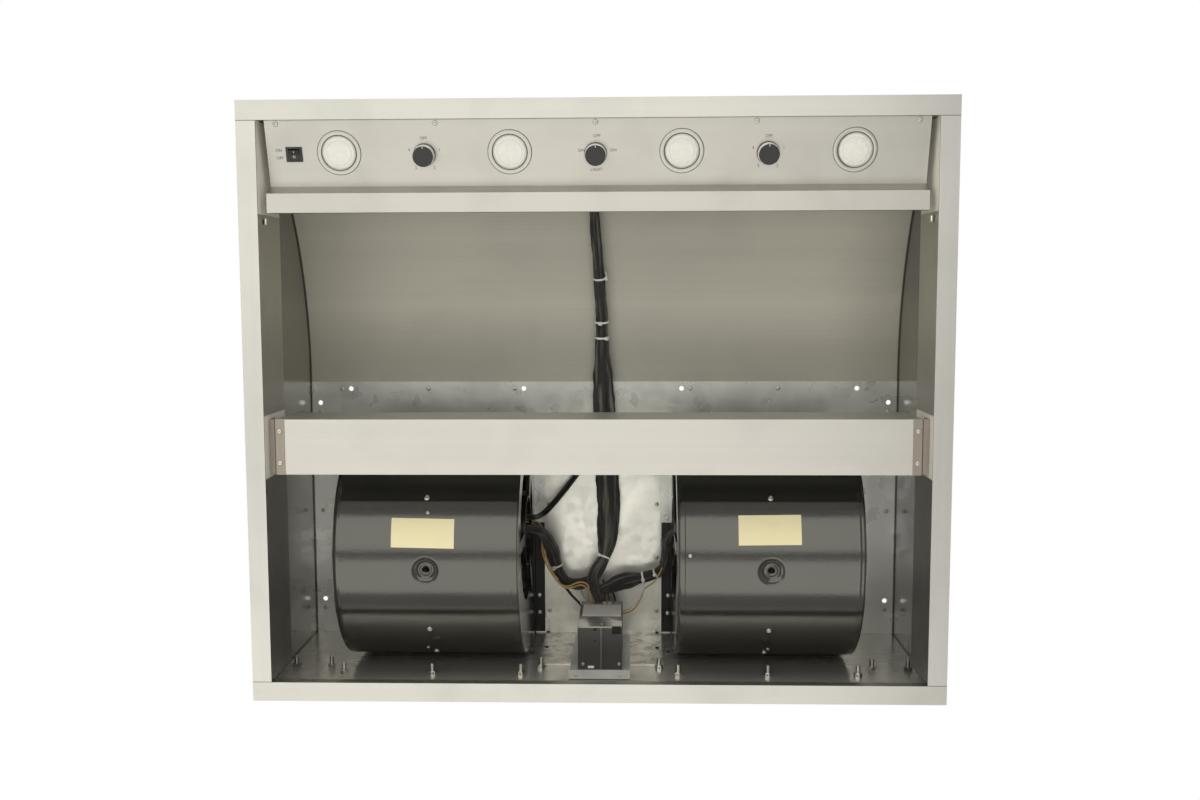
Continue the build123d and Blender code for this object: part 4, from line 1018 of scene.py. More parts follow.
def drumRelief(settings, x, angle, side):
    # how far the sheet stands out: waves, end beads, lap seam, then the dimple and its drain
    beadPlace, beadHalf, beadHeight = settings["bead"]
    relief = sum(height * noise.noise(Vector((x / across, angle / around, side * apart + start)))
                 for height, across, around, apart, start in settings["waves"])
    off = abs(abs(x) - beadPlace) / beadHalf
    if off < 1:
        relief += beadHeight * math.cos(off * math.pi / 2) ** 2
    past, (full, fade) = angle - settings["seam"], settings["seamFade"]
    step = min(1.0, max(0.0, 0.5 + past))
    relief += settings["seamStep"] * step * (1 if past < full else max(0.0, 1 - (past - full) / fade))
    away, (reach, depth, slope) = math.hypot(x, fromDrain(angle)), settings["dimple"]
    if away < reach:
        (wellReach, wellSlope), (lipHeight, lipRadius, lipWidth) = settings["well"], settings["lip"]
        basin = min(1.0, (reach - away) / slope)
        well = min(1.0, max(0.0, (wellReach - away) / wellSlope))
        relief -= 0.5 * depth * (basin * basin * (3 - 2 * basin) + well * well * (3 - 2 * well))
        relief += lipHeight * math.exp(-((away - lipRadius) / lipWidth) ** 2)
    return relief


def makeDrums(settings):
    outline, columns = drumOutline(settings), drumColumns(settings)
    wide, hole, fine = len(columns), settings["drainHole"], settings["fine"]
    for number, (side, middle) in enumerate(zip(sides, settings["middles"])):
        points, keep = [], []
        for y, z, outY, outZ, angle in outline:
            along = fromDrain(angle)
            for x in columns:
                away = math.hypot(x, along)
                # points near the drain's edge move onto its circle
                pull = hole / away if 0 < away and abs(away - hole) < 0.62 * fine else 1
                keep.append(away > hole - 0.6 * fine)
                lift, slide = drumRelief(settings, x, angle, number), along * pull - along
                points.append((middle + x * pull, y + outY * lift - outZ * slide,
                               z + outZ * lift + outY * slide))
        quads = [(a, a + wide, a + wide + 1, a + 1) for row in range(len(outline) - 1)
                 for a in range(row * wide, row * wide + wide - 1)]
        mesh = meshFrom(side + "Drum", points, [quad for quad in quads if any(keep[k] for k in quad)])
        work = bmesh.new()
        work.from_mesh(mesh)
        bmesh.ops.delete(work, geom=[v for v in work.verts if not v.link_faces], context="VERTS")
        work.normal_update()
        if max(work.faces, key=lambda face: -face.calc_center_median().z).normal.z > 0:
            bmesh.ops.reverse_faces(work, faces=work.faces)
        work.to_mesh(mesh)
        work.free()
        piece = linkPiece(side + "Drum", mesh, "drumBlack", "hood", [side + "_scroll_wrap"])
        wall = piece.modifiers.new("wall", "SOLIDIFY")
        wall.thickness, wall.offset = settings["sheet"] * mm, -1


# blank labels that follow the drums
labelSettings = {
    "drums": (  # left and right in X, front and rear angle, tilt
        (-267.0, -185.5, -22.6, -8.6, 1.5), (180.5, 260.8, -24.6, -10.4, -1.0),
    ),
    "lift": 0.25,
    "thickness": 0.18,
    "grid": (28, 14),
}


def makeDrumLabels(settings):
    radius = drumSettings["radius"]
    for number, (left, right, front, rear, tilt) in enumerate(settings["drums"]):
        middle = drumSettings["middles"][number]

        def placeOf(u, v, layer):
            x = left + (right - left) * u
            angle = front + (rear - front) * v + math.degrees(tilt * (u - 0.5) / radius)
            relief = drumRelief(drumSettings, x - middle, angle, number)
            return drumPlace(x, angle, radius + relief + settings["lift"] + layer * settings["thickness"])

        name = sides[number] + "DrumLabel"
        linkPiece(name, outwardMesh(name, slab(*settings["grid"], placeOf), 50), "labelCream")


# screws, studs and bolts, set on their places by the node tree
screwSettings = {
    "head": ((3.15, 0.0), (3.2, 0.3), (3.12, 0.9), (2.9, 1.35), (2.5, 1.62), (1.9, 1.72), (1.1, 1.77),
             (0.5, 1.8), (0, 1.8)),
    "steps": 32,
    "recess": (1.75, 13.0, 0.85),  # reach, half angle of each arm, depth
    "wobble": 3.1,
    "top": (  # places in X and in Y, height
        ((-388.5, -259.25, -130.0, 130.0, 259.25, 388.5), (2.5,), 302.6),
        ((-421.5, 421.5), (37.0, 186.25, 335.5), 302.6),
        ((-80.5, 80.5), (176.0, 256.5, 338.5), 301.4),
    ),
    "panel": ((-390.0, -195.0, 0.0, 195.0, 390.0), 4.2),
    "rail": ((-397.0, 397.0), (31.25, 71.25), 11.8),
    "drum": (-33.0, 36.0, 62.0),
    "drumExtra": ((-220.5, -25.5), (-232.0, 55.5), (118.5, -5.3), (226.0, 55.5)),
    "drumSizes": (1.2, 0.75),
    "studs": ((-346, 105), (-226, 105), (-106, 105), (106, 105), (226, 105), (346, 105), (-419, 134),
              (-370, 134), (-81, 134), (81, 134), (370, 134), (419, 134)),
    "studY": 372.8,
}
down, forward = (0, 0, -1), (0, -1, 0)


def setHeads(name, seats, look, seed, replaced=(), sizes=None):
    # pan heads with a cross recess
    points, faces = lathe(screwSettings["head"], screwSettings["steps"])
    reach, halfAngle, depth = screwSettings["recess"]
    cut = []
    for x, y, z in points:
        radius, turn = math.hypot(x, y), math.degrees(math.atan2(y, x)) % 90
        inArm = radius < reach and (radius < 0.6 or min(turn, 90 - turn) < halfAngle)
        cut.append((x, y, z - depth * (1 - (radius / reach) ** 3 if inArm else 0)))
    head = outwardMesh("panHead.source", (cut, faces), 30)
    copiesOf(name, head, seats, look, replaced=replaced, wobble=screwSettings["wobble"], seed=seed,
             sizes=sizes)


studSettings = {
    "steps": 36,
    "nut": (5.5, ((0.0, 1.0, 0.0), (4.1, 1.0, 0.0), (5.0, 0.93, 0.75))),  # corner; height, share, roundness
    "flat": 4.76,
    "thread": (3.0, 0.28, 5.0, 0.4, 24),  # radius, depth, start, half pitch, rows
    "tip": ((2.5, 14.7), (0.01, 15.0)),
}


def studForm(settings):
    # a hexagon nut with chamfered corners, and the threaded end that stands out of it
    steps, (cornerRadius, nut) = settings["steps"], settings["nut"]
    radius, depth, start, pitch, count = settings["thread"]
    turns, rows = [math.tau * step / steps for step in range(steps)], []
    for height, share, roundness in nut:
        reaches = []
        for turn in turns:
            corner = cornerRadius * math.cos(math.pi / 6) / math.cos((turn % (math.pi / 3)) - math.pi / 6)
            reaches.append((corner * (1 - roundness) + settings["flat"] * roundness) * share)
        rows.append((height, reaches))
    thread = [(radius - depth * (index % 2), start + pitch * index) for index in range(count)]
    rows += [(height, [reach] * steps) for reach, height in (*thread, *settings["tip"])]
    points = [(reach * math.cos(turn), reach * math.sin(turn), height)
              for height, reaches in rows for reach, turn in zip(reaches, turns)]
    faces = []
    for low in range(0, (len(rows) - 1) * steps, steps):
        high = low + steps
        faces += [(low + k, low + (k + 1) % steps, high + (k + 1) % steps, high + k) for k in range(steps)]
    return points, faces + [tuple(reversed(range(steps))), tuple(range(len(points) - steps, len(points)))]


def makeScrews(settings):
    seats = [seatFacing((x, y, z), down) for across, along, z in settings["top"]
             for x in across for y in along]
    setHeads("topScrews", seats, "bolt", 3, ["top_screws"])
    places, distance = settings["panel"]
    seats = [panelSeat(x, distance) for x in places]
    across, along, height = settings["rail"]
    seats += [seatFacing((x, y, height), down) for x in across for y in along]
    setHeads("panelScrews", seats, "bolt", 8, ["panel_screws"])
    main = [(x, angle) for x in drumSettings["middles"] for angle in settings["drum"]]
    seats = []
    for x, angle in (*main, *settings["drumExtra"]):
        place = drumPlace(x, angle, drumSettings["radius"] + 0.15)
        seats.append(seatFacing(place, (0, math.sin(math.radians(angle)), -math.cos(math.radians(angle)))))
    large, small = settings["drumSizes"]
    sizes = [large] * len(main) + [small] * len(settings["drumExtra"])
    setHeads("drumScrews", seats, "bolt", 5, ["blower_screws"], sizes)
    seats = [seatFacing((x, settings["studY"], z), forward) for x, z in settings["studs"]]
    stud = outwardMesh("stud.source", studForm(studSettings), 28)
    copiesOf("wallStuds", stud, seats, "bolt", replaced=["wall_studs"], wobble=settings["wobble"], seed=11)


# sleeves and wires: one tube tree, run along a smooth spline
sleeveShape = {"thinnest": 0.24, "roundest": 0.86, "creaseReach": 0.011, "creaseAlong": 0.22,
               "creaseMiddle": 0.55}


def tubeTree():
    inputs = (("Sides", "Int", 24), ("Spacing", "Float", 0.002), ("Girth", "Float", 0.1),
              ("Roundest", "Float", 1.0), ("Crease", "Float", 0.0), ("Crease Scale", "Float", 120.0),
              ("Yarns", "Float", 16.0), ("Yarn Length", "Float", 0.004))
    net, given = shapeTree("wovenTube", inputs)

    def capture(geometry, value, kind):
        node = net.node("GeometryNodeCaptureAttribute", domain="POINT")
        node.capture_items.new(kind, "kept")
        net.feed(node.inputs[0], geometry)
        net.feed(node.inputs[1], value)
        return node.outputs[0], node.outputs[1]

    line = net.node("GeometryNodeResampleCurve", {"Curve": given["Geometry"], "Length": given["Spacing"]},
                    mode="LENGTH")
    place = net.node("GeometryNodeInputPosition").outputs[0]
    walked = net.node("GeometryNodeSplineParameter").outputs
    curve, tangent = capture(line.outputs[0], net.node("GeometryNodeInputTangent").outputs[0], "VECTOR")
    curve, middle = capture(curve, place, "VECTOR")
    curve, radius = capture(curve, net.node("GeometryNodeInputRadius").outputs[0], "FLOAT")
    curve, length = capture(curve, walked["Length"], "FLOAT")
    ring = net.node("GeometryNodeCurvePrimitiveCircle", {"Resolution": given["Sides"], "Radius": 1.0},
                    mode="RADIUS")
    ring, turn = capture(ring.outputs[0], walked["Factor"], "FLOAT")
    tube = net.node("GeometryNodeCurveToMesh",
                    {"Curve": curve, "Profile Curve": ring, "Scale": radius, "Fill Caps": True})
    # the sleeve's girth stays the same, so where it is wide it is thin, seen along the world's Z
    across = net.vector("NORMALIZE", net.vector("CROSS_PRODUCT", tangent, (0, 0, 1)))
    up = net.vector("NORMALIZE", net.vector("CROSS_PRODUCT", across, tangent))
    offset = net.vector("SUBTRACT", place, middle)
    thin = net.maths("DIVIDE", net.minus(given["Girth"], radius), radius)
    thin = net.maths("MAXIMUM", net.maths("MINIMUM", thin, given["Roundest"]), sleeveShape["thinnest"])
    lower = net.times(net.vector("DOT_PRODUCT", offset, up), net.minus(thin, 1.0))
    # creases follow a noise that is wrapped round the tube
    angle, reach = net.times(turn, math.tau), sleeveShape["creaseReach"]
    spread = net.combine(net.times(net.maths("SINE", angle), reach),
                         net.times(net.maths("COSINE", angle), reach),
                         net.times(length, sleeveShape["creaseAlong"]))
    fold = net.minus(net.noise(spread, given["Crease Scale"], 2.0), sleeveShape["creaseMiddle"])
    push = net.vector("SCALE", net.vector("NORMALIZE", offset), scale=net.times(fold, given["Crease"]))
    shift = net.vector("ADD", net.vector("SCALE", up, scale=lower), push)
    moved = net.node("GeometryNodeSetPosition", {"Geometry": tube.outputs[0], "Offset": shift})
    pattern = net.combine(net.times(turn, given["Yarns"]), net.maths("DIVIDE", length, given["Yarn Length"]))
    stored = net.node("GeometryNodeStoreNamedAttribute",
                      {"Geometry": moved.outputs[0], "Name": "UVMap", "Value": pattern},
                      data_type="FLOAT2", domain="CORNER")
    smooth = net.node("GeometryNodeSetShadeSmooth", {"Geometry": stored.outputs[0]})
    return finishTree(net, smooth.outputs[0], given["Finish"])


trees["tube"] = tubeTree()


def splineOf(name, route):
    # a NURBS spline through the route's neighbourhood; each stop is (x, y, z, half width)
    curve = bpy.data.curves.new(name, "CURVE")
    curve.dimensions = "3D"
    spline = curve.splines.new("NURBS")
    spline.points.add(len(route) - 1)
    for point, stop in zip(spline.points, route):
        point.co = (stop[0] * mm, stop[1] * mm, stop[2] * mm, 1)
        point.radius = stop[3] * mm
    spline.order_u, spline.use_endpoint_u, spline.resolution_u = 3, True, 12
    return curve


def tubeAlong(name, route, look, replaced=(), finish=None, body="hood", **values):
    mesh = runTree(name, splineOf(name, route), trees["tube"], {**values, "Finish": looks[look]})
    return linkPiece(name, mesh, None, body, replaced)


sleeveSettings = {
    "main": {
        "route": ((0, -321.1, 45.5, 5.5), (0, -310, 84, 5.5), (-5, -308, 152, 6.4), (-8, -240, 217, 7.4),
                  (-3, -160, 262, 8.0), (0, -104, 277, 9.2), (0, -70, 286, 9.0), (1, -20, 288.5, 14.0),
                  (2, 30, 290, 17.0), (8, 128, 290, 17.2), (9, 196, 288, 16.6), (7, 230, 284, 14.5),
                  (2.5, 251, 280, 8.2), (-4, 263, 273, 9.4), (-13, 275, 266, 9.6), (-13, 288, 258, 8.8),
                  (-8, 300, 248, 8.0), (-4, 310.3, 243, 7.0)),
        "girth": 21.5,
        "node": "main_harness",
    },
    "left": {
        "route": ((-9, 280, 264, 7.5), (-22, 285, 268, 7.5), (-35, 290, 270, 8.6), (-47, 290, 273, 7.6),
                  (-56, 285, 274, 6.4), (-66, 270, 273, 8.6), (-71, 250, 268, 10.2), (-74, 234, 262, 10.4),
                  (-82, 208, 238, 8.0), (-93, 193, 206, 6.0), (-111, 193, 203, 5.5)),
        "girth": 17.0,
        "node": "left_motor_branch",
    },
    "right": {
        "route": ((-3, 296, 258, 7.5), (12, 292, 265, 10.0), (28, 287, 271, 12.0), (44, 284, 275, 11.0),
                  (57, 281.5, 275, 8.0), (68, 279, 274, 8.8), (80, 275, 272, 7.0), (91, 262, 264, 6.4),
                  (92, 238, 242, 5.6), (93, 197, 206, 5.2), (111, 195, 203, 5.0)),
        "girth": 18.0,
        "node": "right_motor_branch",
    },
}
sleeveWeave = {"Sides": 40, "Spacing": 0.0016, "Roundest": sleeveShape["roundest"], "Crease": 0.0075,
               "Crease Scale": 150.0, "Yarns": 22.0, "Yarn Length": 0.0045}
leadSettings = {
    "route": ((-8.9, 64, 289), (-14, 88, 290), (-30, 117, 288), (-48, 142, 286), (-68, 166, 280),
              (-84, 182, 262), (-92, 182, 232), (-95, 174, 190), (-111, 174, 190)),
    "half": 2.15,
    "apart": 2.3,
    "shares": (0.55, 0.8),  # of that distance, in X and in Y
    "closeFrom": (6, 0.4),  # from this stop on, the X share shrinks to this
}


def makeSleeves(sleeves, lead):
    for name, settings in sleeves.items():
        tubeAlong(name + "Sleeve", settings["route"], "sleeveWeave", [settings["node"]], "sleeve",
                  Girth=settings["girth"] * mm, **sleeveWeave)
    (shareX, shareY), (closeFrom, close) = lead["shares"], lead["closeFrom"]
    for number, shift in enumerate((-1, 1)):
        route = [(x + shareX * shift * lead["apart"] * (1 if index < closeFrom else close),
                  y + shareY * shift * lead["apart"], z, lead["half"])
                 for index, (x, y, z) in enumerate(lead["route"])]
        replaced = ["left_motor_lead"] if number else []
        tubeAlong(f"motorLead{number + 1}", route, "jacketBlack", replaced, "lead", Sides=14, Spacing=0.002)


makeDrums(drumSettings)
makeDrumLabels(labelSettings)
makeScrews(screwSettings)
makeSleeves(sleeveSettings, leadSettings)
print("drums, labels, screws and sleeves made")


# blower wheels: a pressed cage, and blades set round it by the node tree
wheelSettings = {
    "wheels": (("left", -223.0, 1), ("right", 223.0, -1)),  # middle in X, and which way the motor lies
    "centre": (190.0, 175.0),
    "half": 105.0,
    "radii": (88.0, 110.0),
    "blades": 36,
    "blade": (99.0, 17.4, 35.0, 2.2, 0.9),  # middle radius, chord, lean in degrees, camber, thickness
    "bladeGrid": (10, 12),
    "bladeGap": 1.2,
    "ring": ((0, 0, 0.8), (0, 0.4, 0), (1, -2.4, 0), (1, -0.8, 0.4), (1, 0, 1.8), (1, 0, 9), (1, -0.9, 9),
             (1, -1.2, 2.0), (0, 0, 2.0)),  # inner or outer radius, how far past it, how far in from the end
    "web": ((7.0, 0.0), (27.0, 0.0), (33.0, 2.6), (58.0, 2.6), (64.0, 0.0), (92.0, 0.0), (96.0, -1.6),
            (104.0, -1.6)),
    "webHalf": 0.8,
    "hub": (6.6, 16.0, -20.0, 12.0),  # bore, radius, the two ends
    "hubEdge": 0.8,
    "steps": (108, 64),  # round the rings and the web, round the hub
}


def bladeMesh(settings):
    middle, chord, lean, camber, thickness = settings["blade"]
    lean, reach = math.radians(lean), settings["half"] - settings["bladeGap"]

    def placeOf(share, along, layer):
        u = chord * (share - 0.5)
        bow = camber * (1 - (2 * u / chord) ** 2) - 0.6 * camber + (layer - 0.5) * thickness
        x = middle + u * math.cos(lean) - bow * math.sin(lean)
        return (x, u * math.sin(lean) + bow * math.cos(lean), reach * (2 * along - 1))

    return outwardMesh("blade.source", slab(*settings["bladeGrid"], placeOf), 50)


def cageMesh(name, settings, toMotor):
    steps, hubSteps = settings["steps"]
    half, edge, forms = settings["webHalf"], settings["hubEdge"], []
    for end in (-1, 1):
        ring = [(settings["radii"][which] + past, end * (settings["half"] - inset))
                for which, past, inset in settings["ring"]]
        forms.append(lathe(ring, steps, closed=True))
    web = settings["web"]
    sheet = [(r, h * toMotor + half) for r, h in web] + [(r, h * toMotor - half) for r, h in web[::-1]]
    forms.append(lathe(sheet, steps, closed=True))
    bore, radius, *ends = settings["hub"]
    low, high = sorted(end * toMotor for end in ends)
    hub = [(bore, low), (radius - edge, low), (radius, low + edge), (radius, high - edge),
           (radius - edge, high), (bore, high)]
    forms.append(lathe(hub, hubSteps, closed=True))
    return outwardMesh(name, joined(forms), 30)


def makeWheels(settings):
    for side, x, toMotor in settings["wheels"]:
        body, seat = side + "_wheel", seatFacing((x, *settings["centre"]), (1, 0, 0))
        cage = placedMesh(cageMesh(side + "Cage", settings, toMotor), seat)
        linkPiece(side + "Wheel.cage", cage, "zincWheel", body, [side + "_impeller"])
        count = settings["blades"]
        seats = [seat @ Matrix.Rotation(math.tau * k / count, 4, "Z") for k in range(count)]
        copiesOf(side + "Wheel.blades", bladeMesh(settings), seats, "zincWheel", body)


# cable ties round the sleeves: a ribbed band, its head and its trimmed tail
tieSettings = {
    "band": (2.8, 1.1),  # width along the sleeve, thickness
    "section": ((-0.5, 0.0), (0.5, 0.0), (0.5, 0.7), (0.36, 1.0), (-0.36, 1.0), (-0.5, 0.7)),
    "steps": 56,
    "lift": 0.2,
    "rib": 0.12,
    "head": (4.6, 4.4, 3.4),
    "tail": (0.3, 1.0, 1.4, 0.4),  # narrower than the band by this, thickness, seat on the head, lift over it
    "longTail": 5,
    "places": (  # sleeve, X and Y on it, where the head sits in degrees round it, tail length, tilt
        ("main", -2.0, -161.5, -15.0, 11.0, 10.0),
        ("main", 0.0, -98.0, -100.0, 2.0, -4.0),
        ("main", 3.0, -73.6, -50.0, 1.5, 6.0),
        ("main", 2.0, 251.0, -150.0, 1.5, 10.0),
        ("left", -66.5, 262.0, -70.0, 1.5, -6.0),
        ("right", 60.0, 281.0, -100.0, 2.0, 8.0),
        ("right", 80.5, 274.5, -80.0, 1.5, 4.0),
    ),
}


def halfWidthAt(route, place):
    # the sleeve's half width beside a place, from the route's two nearest stops
    near = sorted(route, key=lambda stop: (Vector(stop[:3]) - place).length)[:2]
    first, second = [(Vector(stop[:3]) - place).length for stop in near]
    return (near[0][3] * second + near[1][3] * first) / (first + second)


def tieForm(settings, sleeve, line, x, y, headTurn, tail, tilt):
    index = min(range(1, len(line) - 1), key=lambda k: math.hypot(line[k].x - x, line[k].y - y))
    place, tangent = line[index], (line[index + 1] - line[index - 1]).normalized()
    across = tangent.cross(Vector((0, 0, 1))).normalized()
    up = across.cross(tangent).normalized()
    tangent = (tangent + across * math.tan(math.radians(tilt))).normalized()
    wide = halfWidthAt(sleeve["route"], place)
    high = wide * max(sleeveShape["thinnest"], min(sleeveShape["roundest"], (sleeve["girth"] - wide) / wide))

    def around(turn, lift):
        return place + across * (wide + lift) * math.cos(turn) + up * (high + lift) * math.sin(turn)

    (width, thickness), section, steps = settings["band"], settings["section"], settings["steps"]
    band = [around(math.tau * step / steps, settings["lift"] + v * thickness
                   - (settings["rib"] if step % 2 and v == 1.0 else 0)) + tangent * u * width
            for step in range(steps) for u, v in section]
    size, quads = len(section), []
    for step in range(steps):
        low, after = step * size, (step + 1) % steps * size
        quads += [(low + k, low + (k + 1) % size, after + (k + 1) % size, after + k) for k in range(size)]
    turn = math.radians(headTurn)
    out = (across * math.cos(turn) + up * math.sin(turn)).normalized()
    seat, side, (a, b, c) = around(turn, settings["lift"]), tangent.cross(out), settings["head"]
    less, thin, aside, over = settings["tail"]
    if tail > settings["longTail"]:  # a long tail lies along the sleeve
        tailBox = ((tail, width - less, thin), (-tail / 2, 0, c + over))
    else:
        tailBox = ((width - less, thin, tail + c), (0, aside, c + tail / 2))
    forms = [(band, quads)]
    for boxSize, middle in (((a, b, c), (0, 0, c / 2)), tailBox):
        box, boxFaces = boxForm(boxSize, middle)
        forms.append(([seat + tangent * p[0] + side * p[1] + out * p[2] for p in box], boxFaces))
    return joined(forms)


def makeTies(settings):
    lines = {}
    for name, sleeve in sleeveSettings.items():
        curve = plainMesh(bpy.data.objects.new("line", splineOf("line", sleeve["route"])))
        lines[name] = [v.co.copy() / mm for v in curve.vertices]
    forms = [tieForm(settings, sleeveSettings[name], lines[name], *rest)
             for name, *rest in settings["places"]]
    linkPiece("cableTies", outwardMesh("cableTies", joined(forms), 25), "tieWhite")


# thin wires that come out of the sleeves and end at the junction box or the motors
wireSettings = {
    "sides": 10,
    "wires": (  # name, look, half width, route
        ("tanLeft", "wireTan", 1.3, (
            (-111, 181, 212), (-97, 186, 232), (-86, 200, 250), (-85, 216, 256), (-86, 234, 257),
            (-81, 252, 257), (-71, 273, 257), (-61, 289, 257), (-50, 291, 257), (-36, 283.5, 256),
            (-25.5, 283.5, 255), (-18, 291, 253), (-13.5, 303, 248), (-13, 316, 246), (-13, 322, 246))),
        ("tanLeftSecond", "wireTan", 1.2, (
            (-111, 184, 210), (-99, 190, 232), (-89, 204, 250), (-88, 220, 256), (-88.5, 237, 257),
            (-83, 256, 257), (-71, 277, 257), (-56, 294, 257), (-43, 291.6, 257), (-30, 286.5, 256),
            (-21, 293, 252), (-17, 304, 247), (-16, 316, 245), (-16, 322, 245))),
        ("blackCord", "jacketBlack", 1.9, (
            (-64, 282, 266), (-52, 297, 264), (-42, 309, 263), (-33, 317, 262), (-28, 323, 256),
            (-26, 328, 250))),
        ("creamLoop", "wireCream", 1.0, (
            (-22, 286, 282), (-34, 296, 287), (-30, 310, 284), (-22, 318, 268), (-21, 322, 250))),
        ("redFirst", "wireRed", 1.1, (
            (0, 284, 274), (4, 296, 278), (9, 306, 274), (10, 316, 264), (10, 322, 250))),
        ("redSecond", "wireRed", 1.1, (
            (2, 286, 272), (9, 298, 279), (3, 308, 279), (2, 318, 266), (3, 326, 250))),
        ("tanRight", "wireTan", 1.1, (
            (88, 262, 258), (80, 282, 260), (66, 291, 261), (60, 297, 262), (59, 304, 262), (55, 312, 261),
            (47, 324, 256), (36, 328, 250), (30, 328, 246))),
        ("creamRight", "wireCream", 1.0, (
            (62, 292, 261), (58, 304, 260), (50, 316, 260), (40, 323, 255), (30, 324, 243))),
        ("blackRight", "jacketBlack", 1.3, ((8, 288, 268), (14, 300, 272), (19, 310, 266), (20, 320, 250))),
    ),
    "sheath": ((-32, 317.5, 262), (-28.5, 321.5, 259), 2.7),
}


def makeWires(settings):
    for name, look, half, route in settings["wires"]:
        tubeAlong(name, [(*stop, half) for stop in route], look, Sides=settings["sides"], Spacing=0.0015)
    first, last, half = settings["sheath"]
    middle = [(a + b) / 2 for a, b in zip(first, last)]
    route = [(*stop, half) for stop in (first, middle, last)]
    tubeAlong("cordSheath", route, "tieWhite", Sides=16, Spacing=0.001)


# small fittings: the junction box's plate, rib, knock-outs and screws, spring clips, bolts and marks
fittingSettings = {
    "boxes": (  # name, look, size, middle, edge, and the edge's segments
        ("boxPlate", "plateWhite", (54.4, 0.3, 60.0), (1.2, 310.1, 200.0), 0.12, 2),
        # the three knock-outs are near-black sheets, painted shade of the open holes
        ("boxKnockOut1", "deepBlack", (12.2, 10.8, 0.5), (22.8, 315.4, 119.85), 0.2, 2),
        ("boxKnockOut2", "deepBlack", (3.8, 3.8, 0.4), (-6.3, 314.4, 119.9), 0.15, 2),
        ("boxKnockOut3", "deepBlack", (2.2, 2.2, 0.4), (-6.4, 330.0, 119.9), 0.15, 2),
        ("boxRib", "ribGrey", (3.2, 56.0, 2.4), (1.8, 341.0, 119.2), 1.0, 3),
        ("boxPlug", "tieWhite", (8.4, 3.2, 1.6), (-12.0, 366.6, 119.4), 0.7, 4),
    ),
    "boxScrews": (((2.8, 310.4, 131.8), forward, 0.55), ((-22.8, 362.7, 120.0), down, 0.7),
                  ((26.1, 362.4, 120.0), down, 0.7), ((-30.7, 367.0, 85.0), down, 0.8),
                  ((26.5, 367.0, 85.0), down, 0.8)),
    "footBolts": ((-94.3, 198), (-96, 315), (96.6, 197), (96.7, 229), (97.7, 315), (-95.5, 341), (97, 342)),
    "footZ": 301.4,
    "frontFoot": (204, 1.2),  # bolts in front of this stand higher by this
    "footSize": 0.9,
    "wallBolts": ((-99, 200), (95, 208), (-79.5, 224), (79.7, 222), (-83, 299), (81, 296), (-84, 152),
                  (80, 154), (-108, 116), (104, 115.5)),
    "wallSize": 0.85,
    "plateHalf": 86,
    "plateY": 371.6,
    "wallY": 372.8,
    "clips": ((-412.5, 1), (412.5, -1)),
    "clipPath": ((0.0, 42.0), (0.0, 24.0), (0.6, 21.5), (2.4, 19.6), (4.4, 19.8), (5.6, 21.8), (5.2, 25.5)),
    "clipSize": (-229.0, 7.0, 0.7),  # middle in Y, width, thickness
    "rocker": (-370.5, 41.0),
    "rockerLine": ((0, 0.0), (0.42, 0.0), (0.42, 0.12), (0, 0.12)),
    "rockerRing": ((1.0, 0.0), (1.6, 0.0), (1.6, 0.12), (1.0, 0.12)),
    "rockerTips": ((3.3, 3.14, 18.4), (-2.6, 1.92, -0.2)),  # line and ring: how far ahead, height, slope
    "lineStretch": 1.1,
}


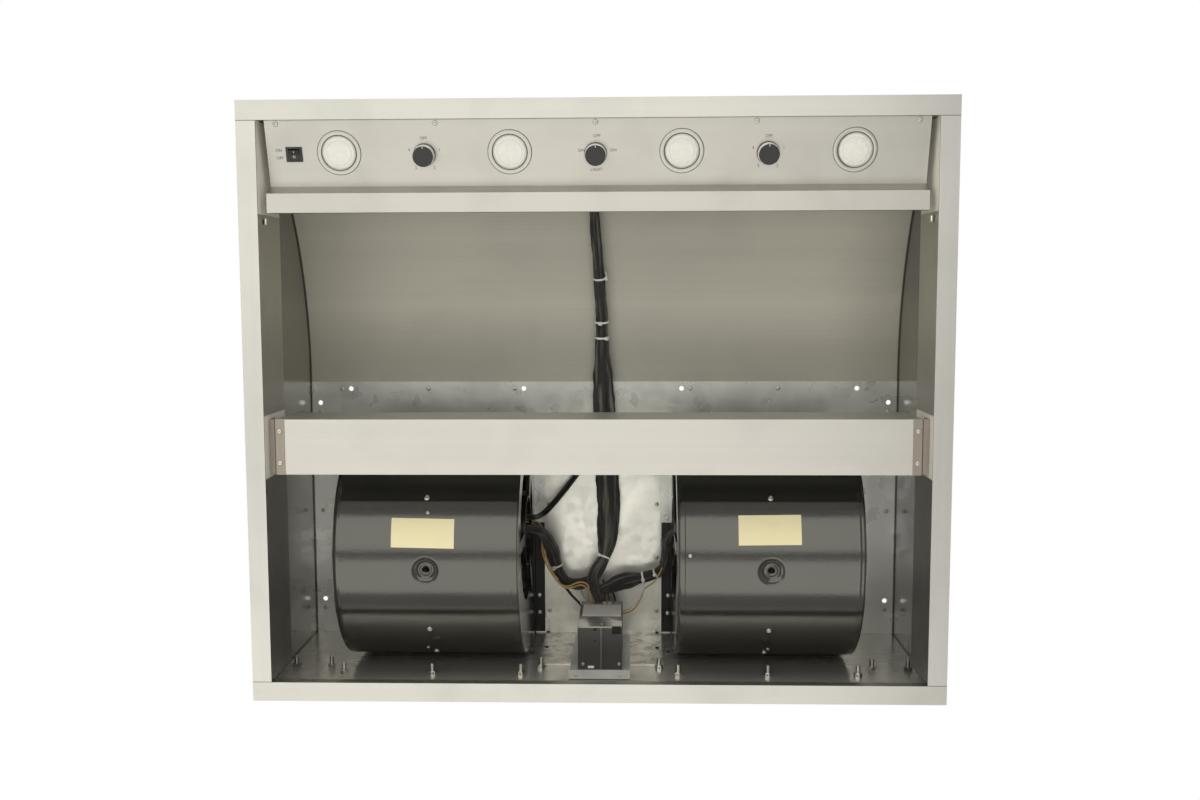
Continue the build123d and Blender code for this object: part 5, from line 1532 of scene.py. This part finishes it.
def stripForm(path, middle, width, thickness):
    # a bent strip: the path is in X and Z, the strip's width runs along Y
    points, last = [], len(path) - 1
    for index, (x, z) in enumerate(path):
        before, after = path[max(0, index - 1)], path[min(last, index + 1)]
        run = Vector((after[0] - before[0], after[1] - before[1])).normalized()
        for placeX, placeZ in ((x, z), (x - run.y * thickness, z + run.x * thickness)):
            points += [(placeX, middle + end * width / 2, placeZ) for end in (-1, 1)]
    faces = [(0, 1, 3, 2)]
    for a in range(0, last * 4, 4):
        b = a + 4
        faces += [(a, b, b + 1, a + 1), (a + 2, a + 3, b + 3, b + 2), (a, a + 2, b + 2, b),
                  (a + 1, b + 1, b + 3, a + 3)]
    a = last * 4
    return points, [*faces, (a, a + 2, a + 3, a + 1)]


def rockerMarks(settings):
    # a line and a ring, each lying on its own half of the paddle
    seat, stretch = panelSeat(*settings["rocker"]), settings["lineStretch"]
    points, faces = lathe(settings["rockerLine"], 12)
    stroke = ([(x, y + (stretch if y > 0 else -stretch), z) for x, y, z in points], faces)
    ring = lathe(settings["rockerRing"], 32, closed=True)
    work = bmesh.new()
    for form, (ahead, height, slope) in zip((stroke, ring), settings["rockerTips"]):
        tip = Matrix.Translation((0, ahead * mm, height * mm)) @ Matrix.Rotation(math.radians(slope), 4, "X")
        work.from_mesh(placedMesh(outwardMesh("mark", form), seat @ tip))
    mesh = bpy.data.meshes.new("rockerMarks")
    work.to_mesh(mesh)
    work.free()
    return mesh


def makeFittings(settings):
    for name, look, *box in settings["boxes"]:
        linkPiece(name, softBox(name, *box), look)
    screws = settings["boxScrews"]
    seats = [seatFacing(place, out) for place, out, _ in screws]
    setHeads("boxScrews", seats, "bolt", 21, sizes=[size for *_, size in screws])
    behind, extra = settings["frontFoot"]
    seats = [seatFacing((x, y, settings["footZ"] + (extra if y < behind else 0)), down)
             for x, y in settings["footBolts"]]
    setHeads("footBolts", seats, "chrome", 17, sizes=[settings["footSize"]] * len(seats))
    seats = [seatFacing((x, settings["plateY" if abs(x) < settings["plateHalf"] else "wallY"], z), forward)
             for x, z in settings["wallBolts"]]
    setHeads("wallBolts", seats, "darkBolt", 29, sizes=[settings["wallSize"]] * len(seats))
    middle, width, thickness = settings["clipSize"]
    forms = []
    for x, toward in settings["clips"]:
        path = [(x + toward * dx, z) for dx, z in settings["clipPath"]]
        forms.append(stripForm(path, middle, width, toward * thickness))
    linkPiece("springClips", outwardMesh("springClips", joined(forms), 60), "bolt")
    linkPiece("rockerMarks", rockerMarks(settings), "markWhite", "rocker")


makeWheels(wheelSettings)
makeTies(tieSettings)
makeWires(wireSettings)
makeFittings(fittingSettings)
print("wheels, ties, wires and fittings made")


print("pieces done")
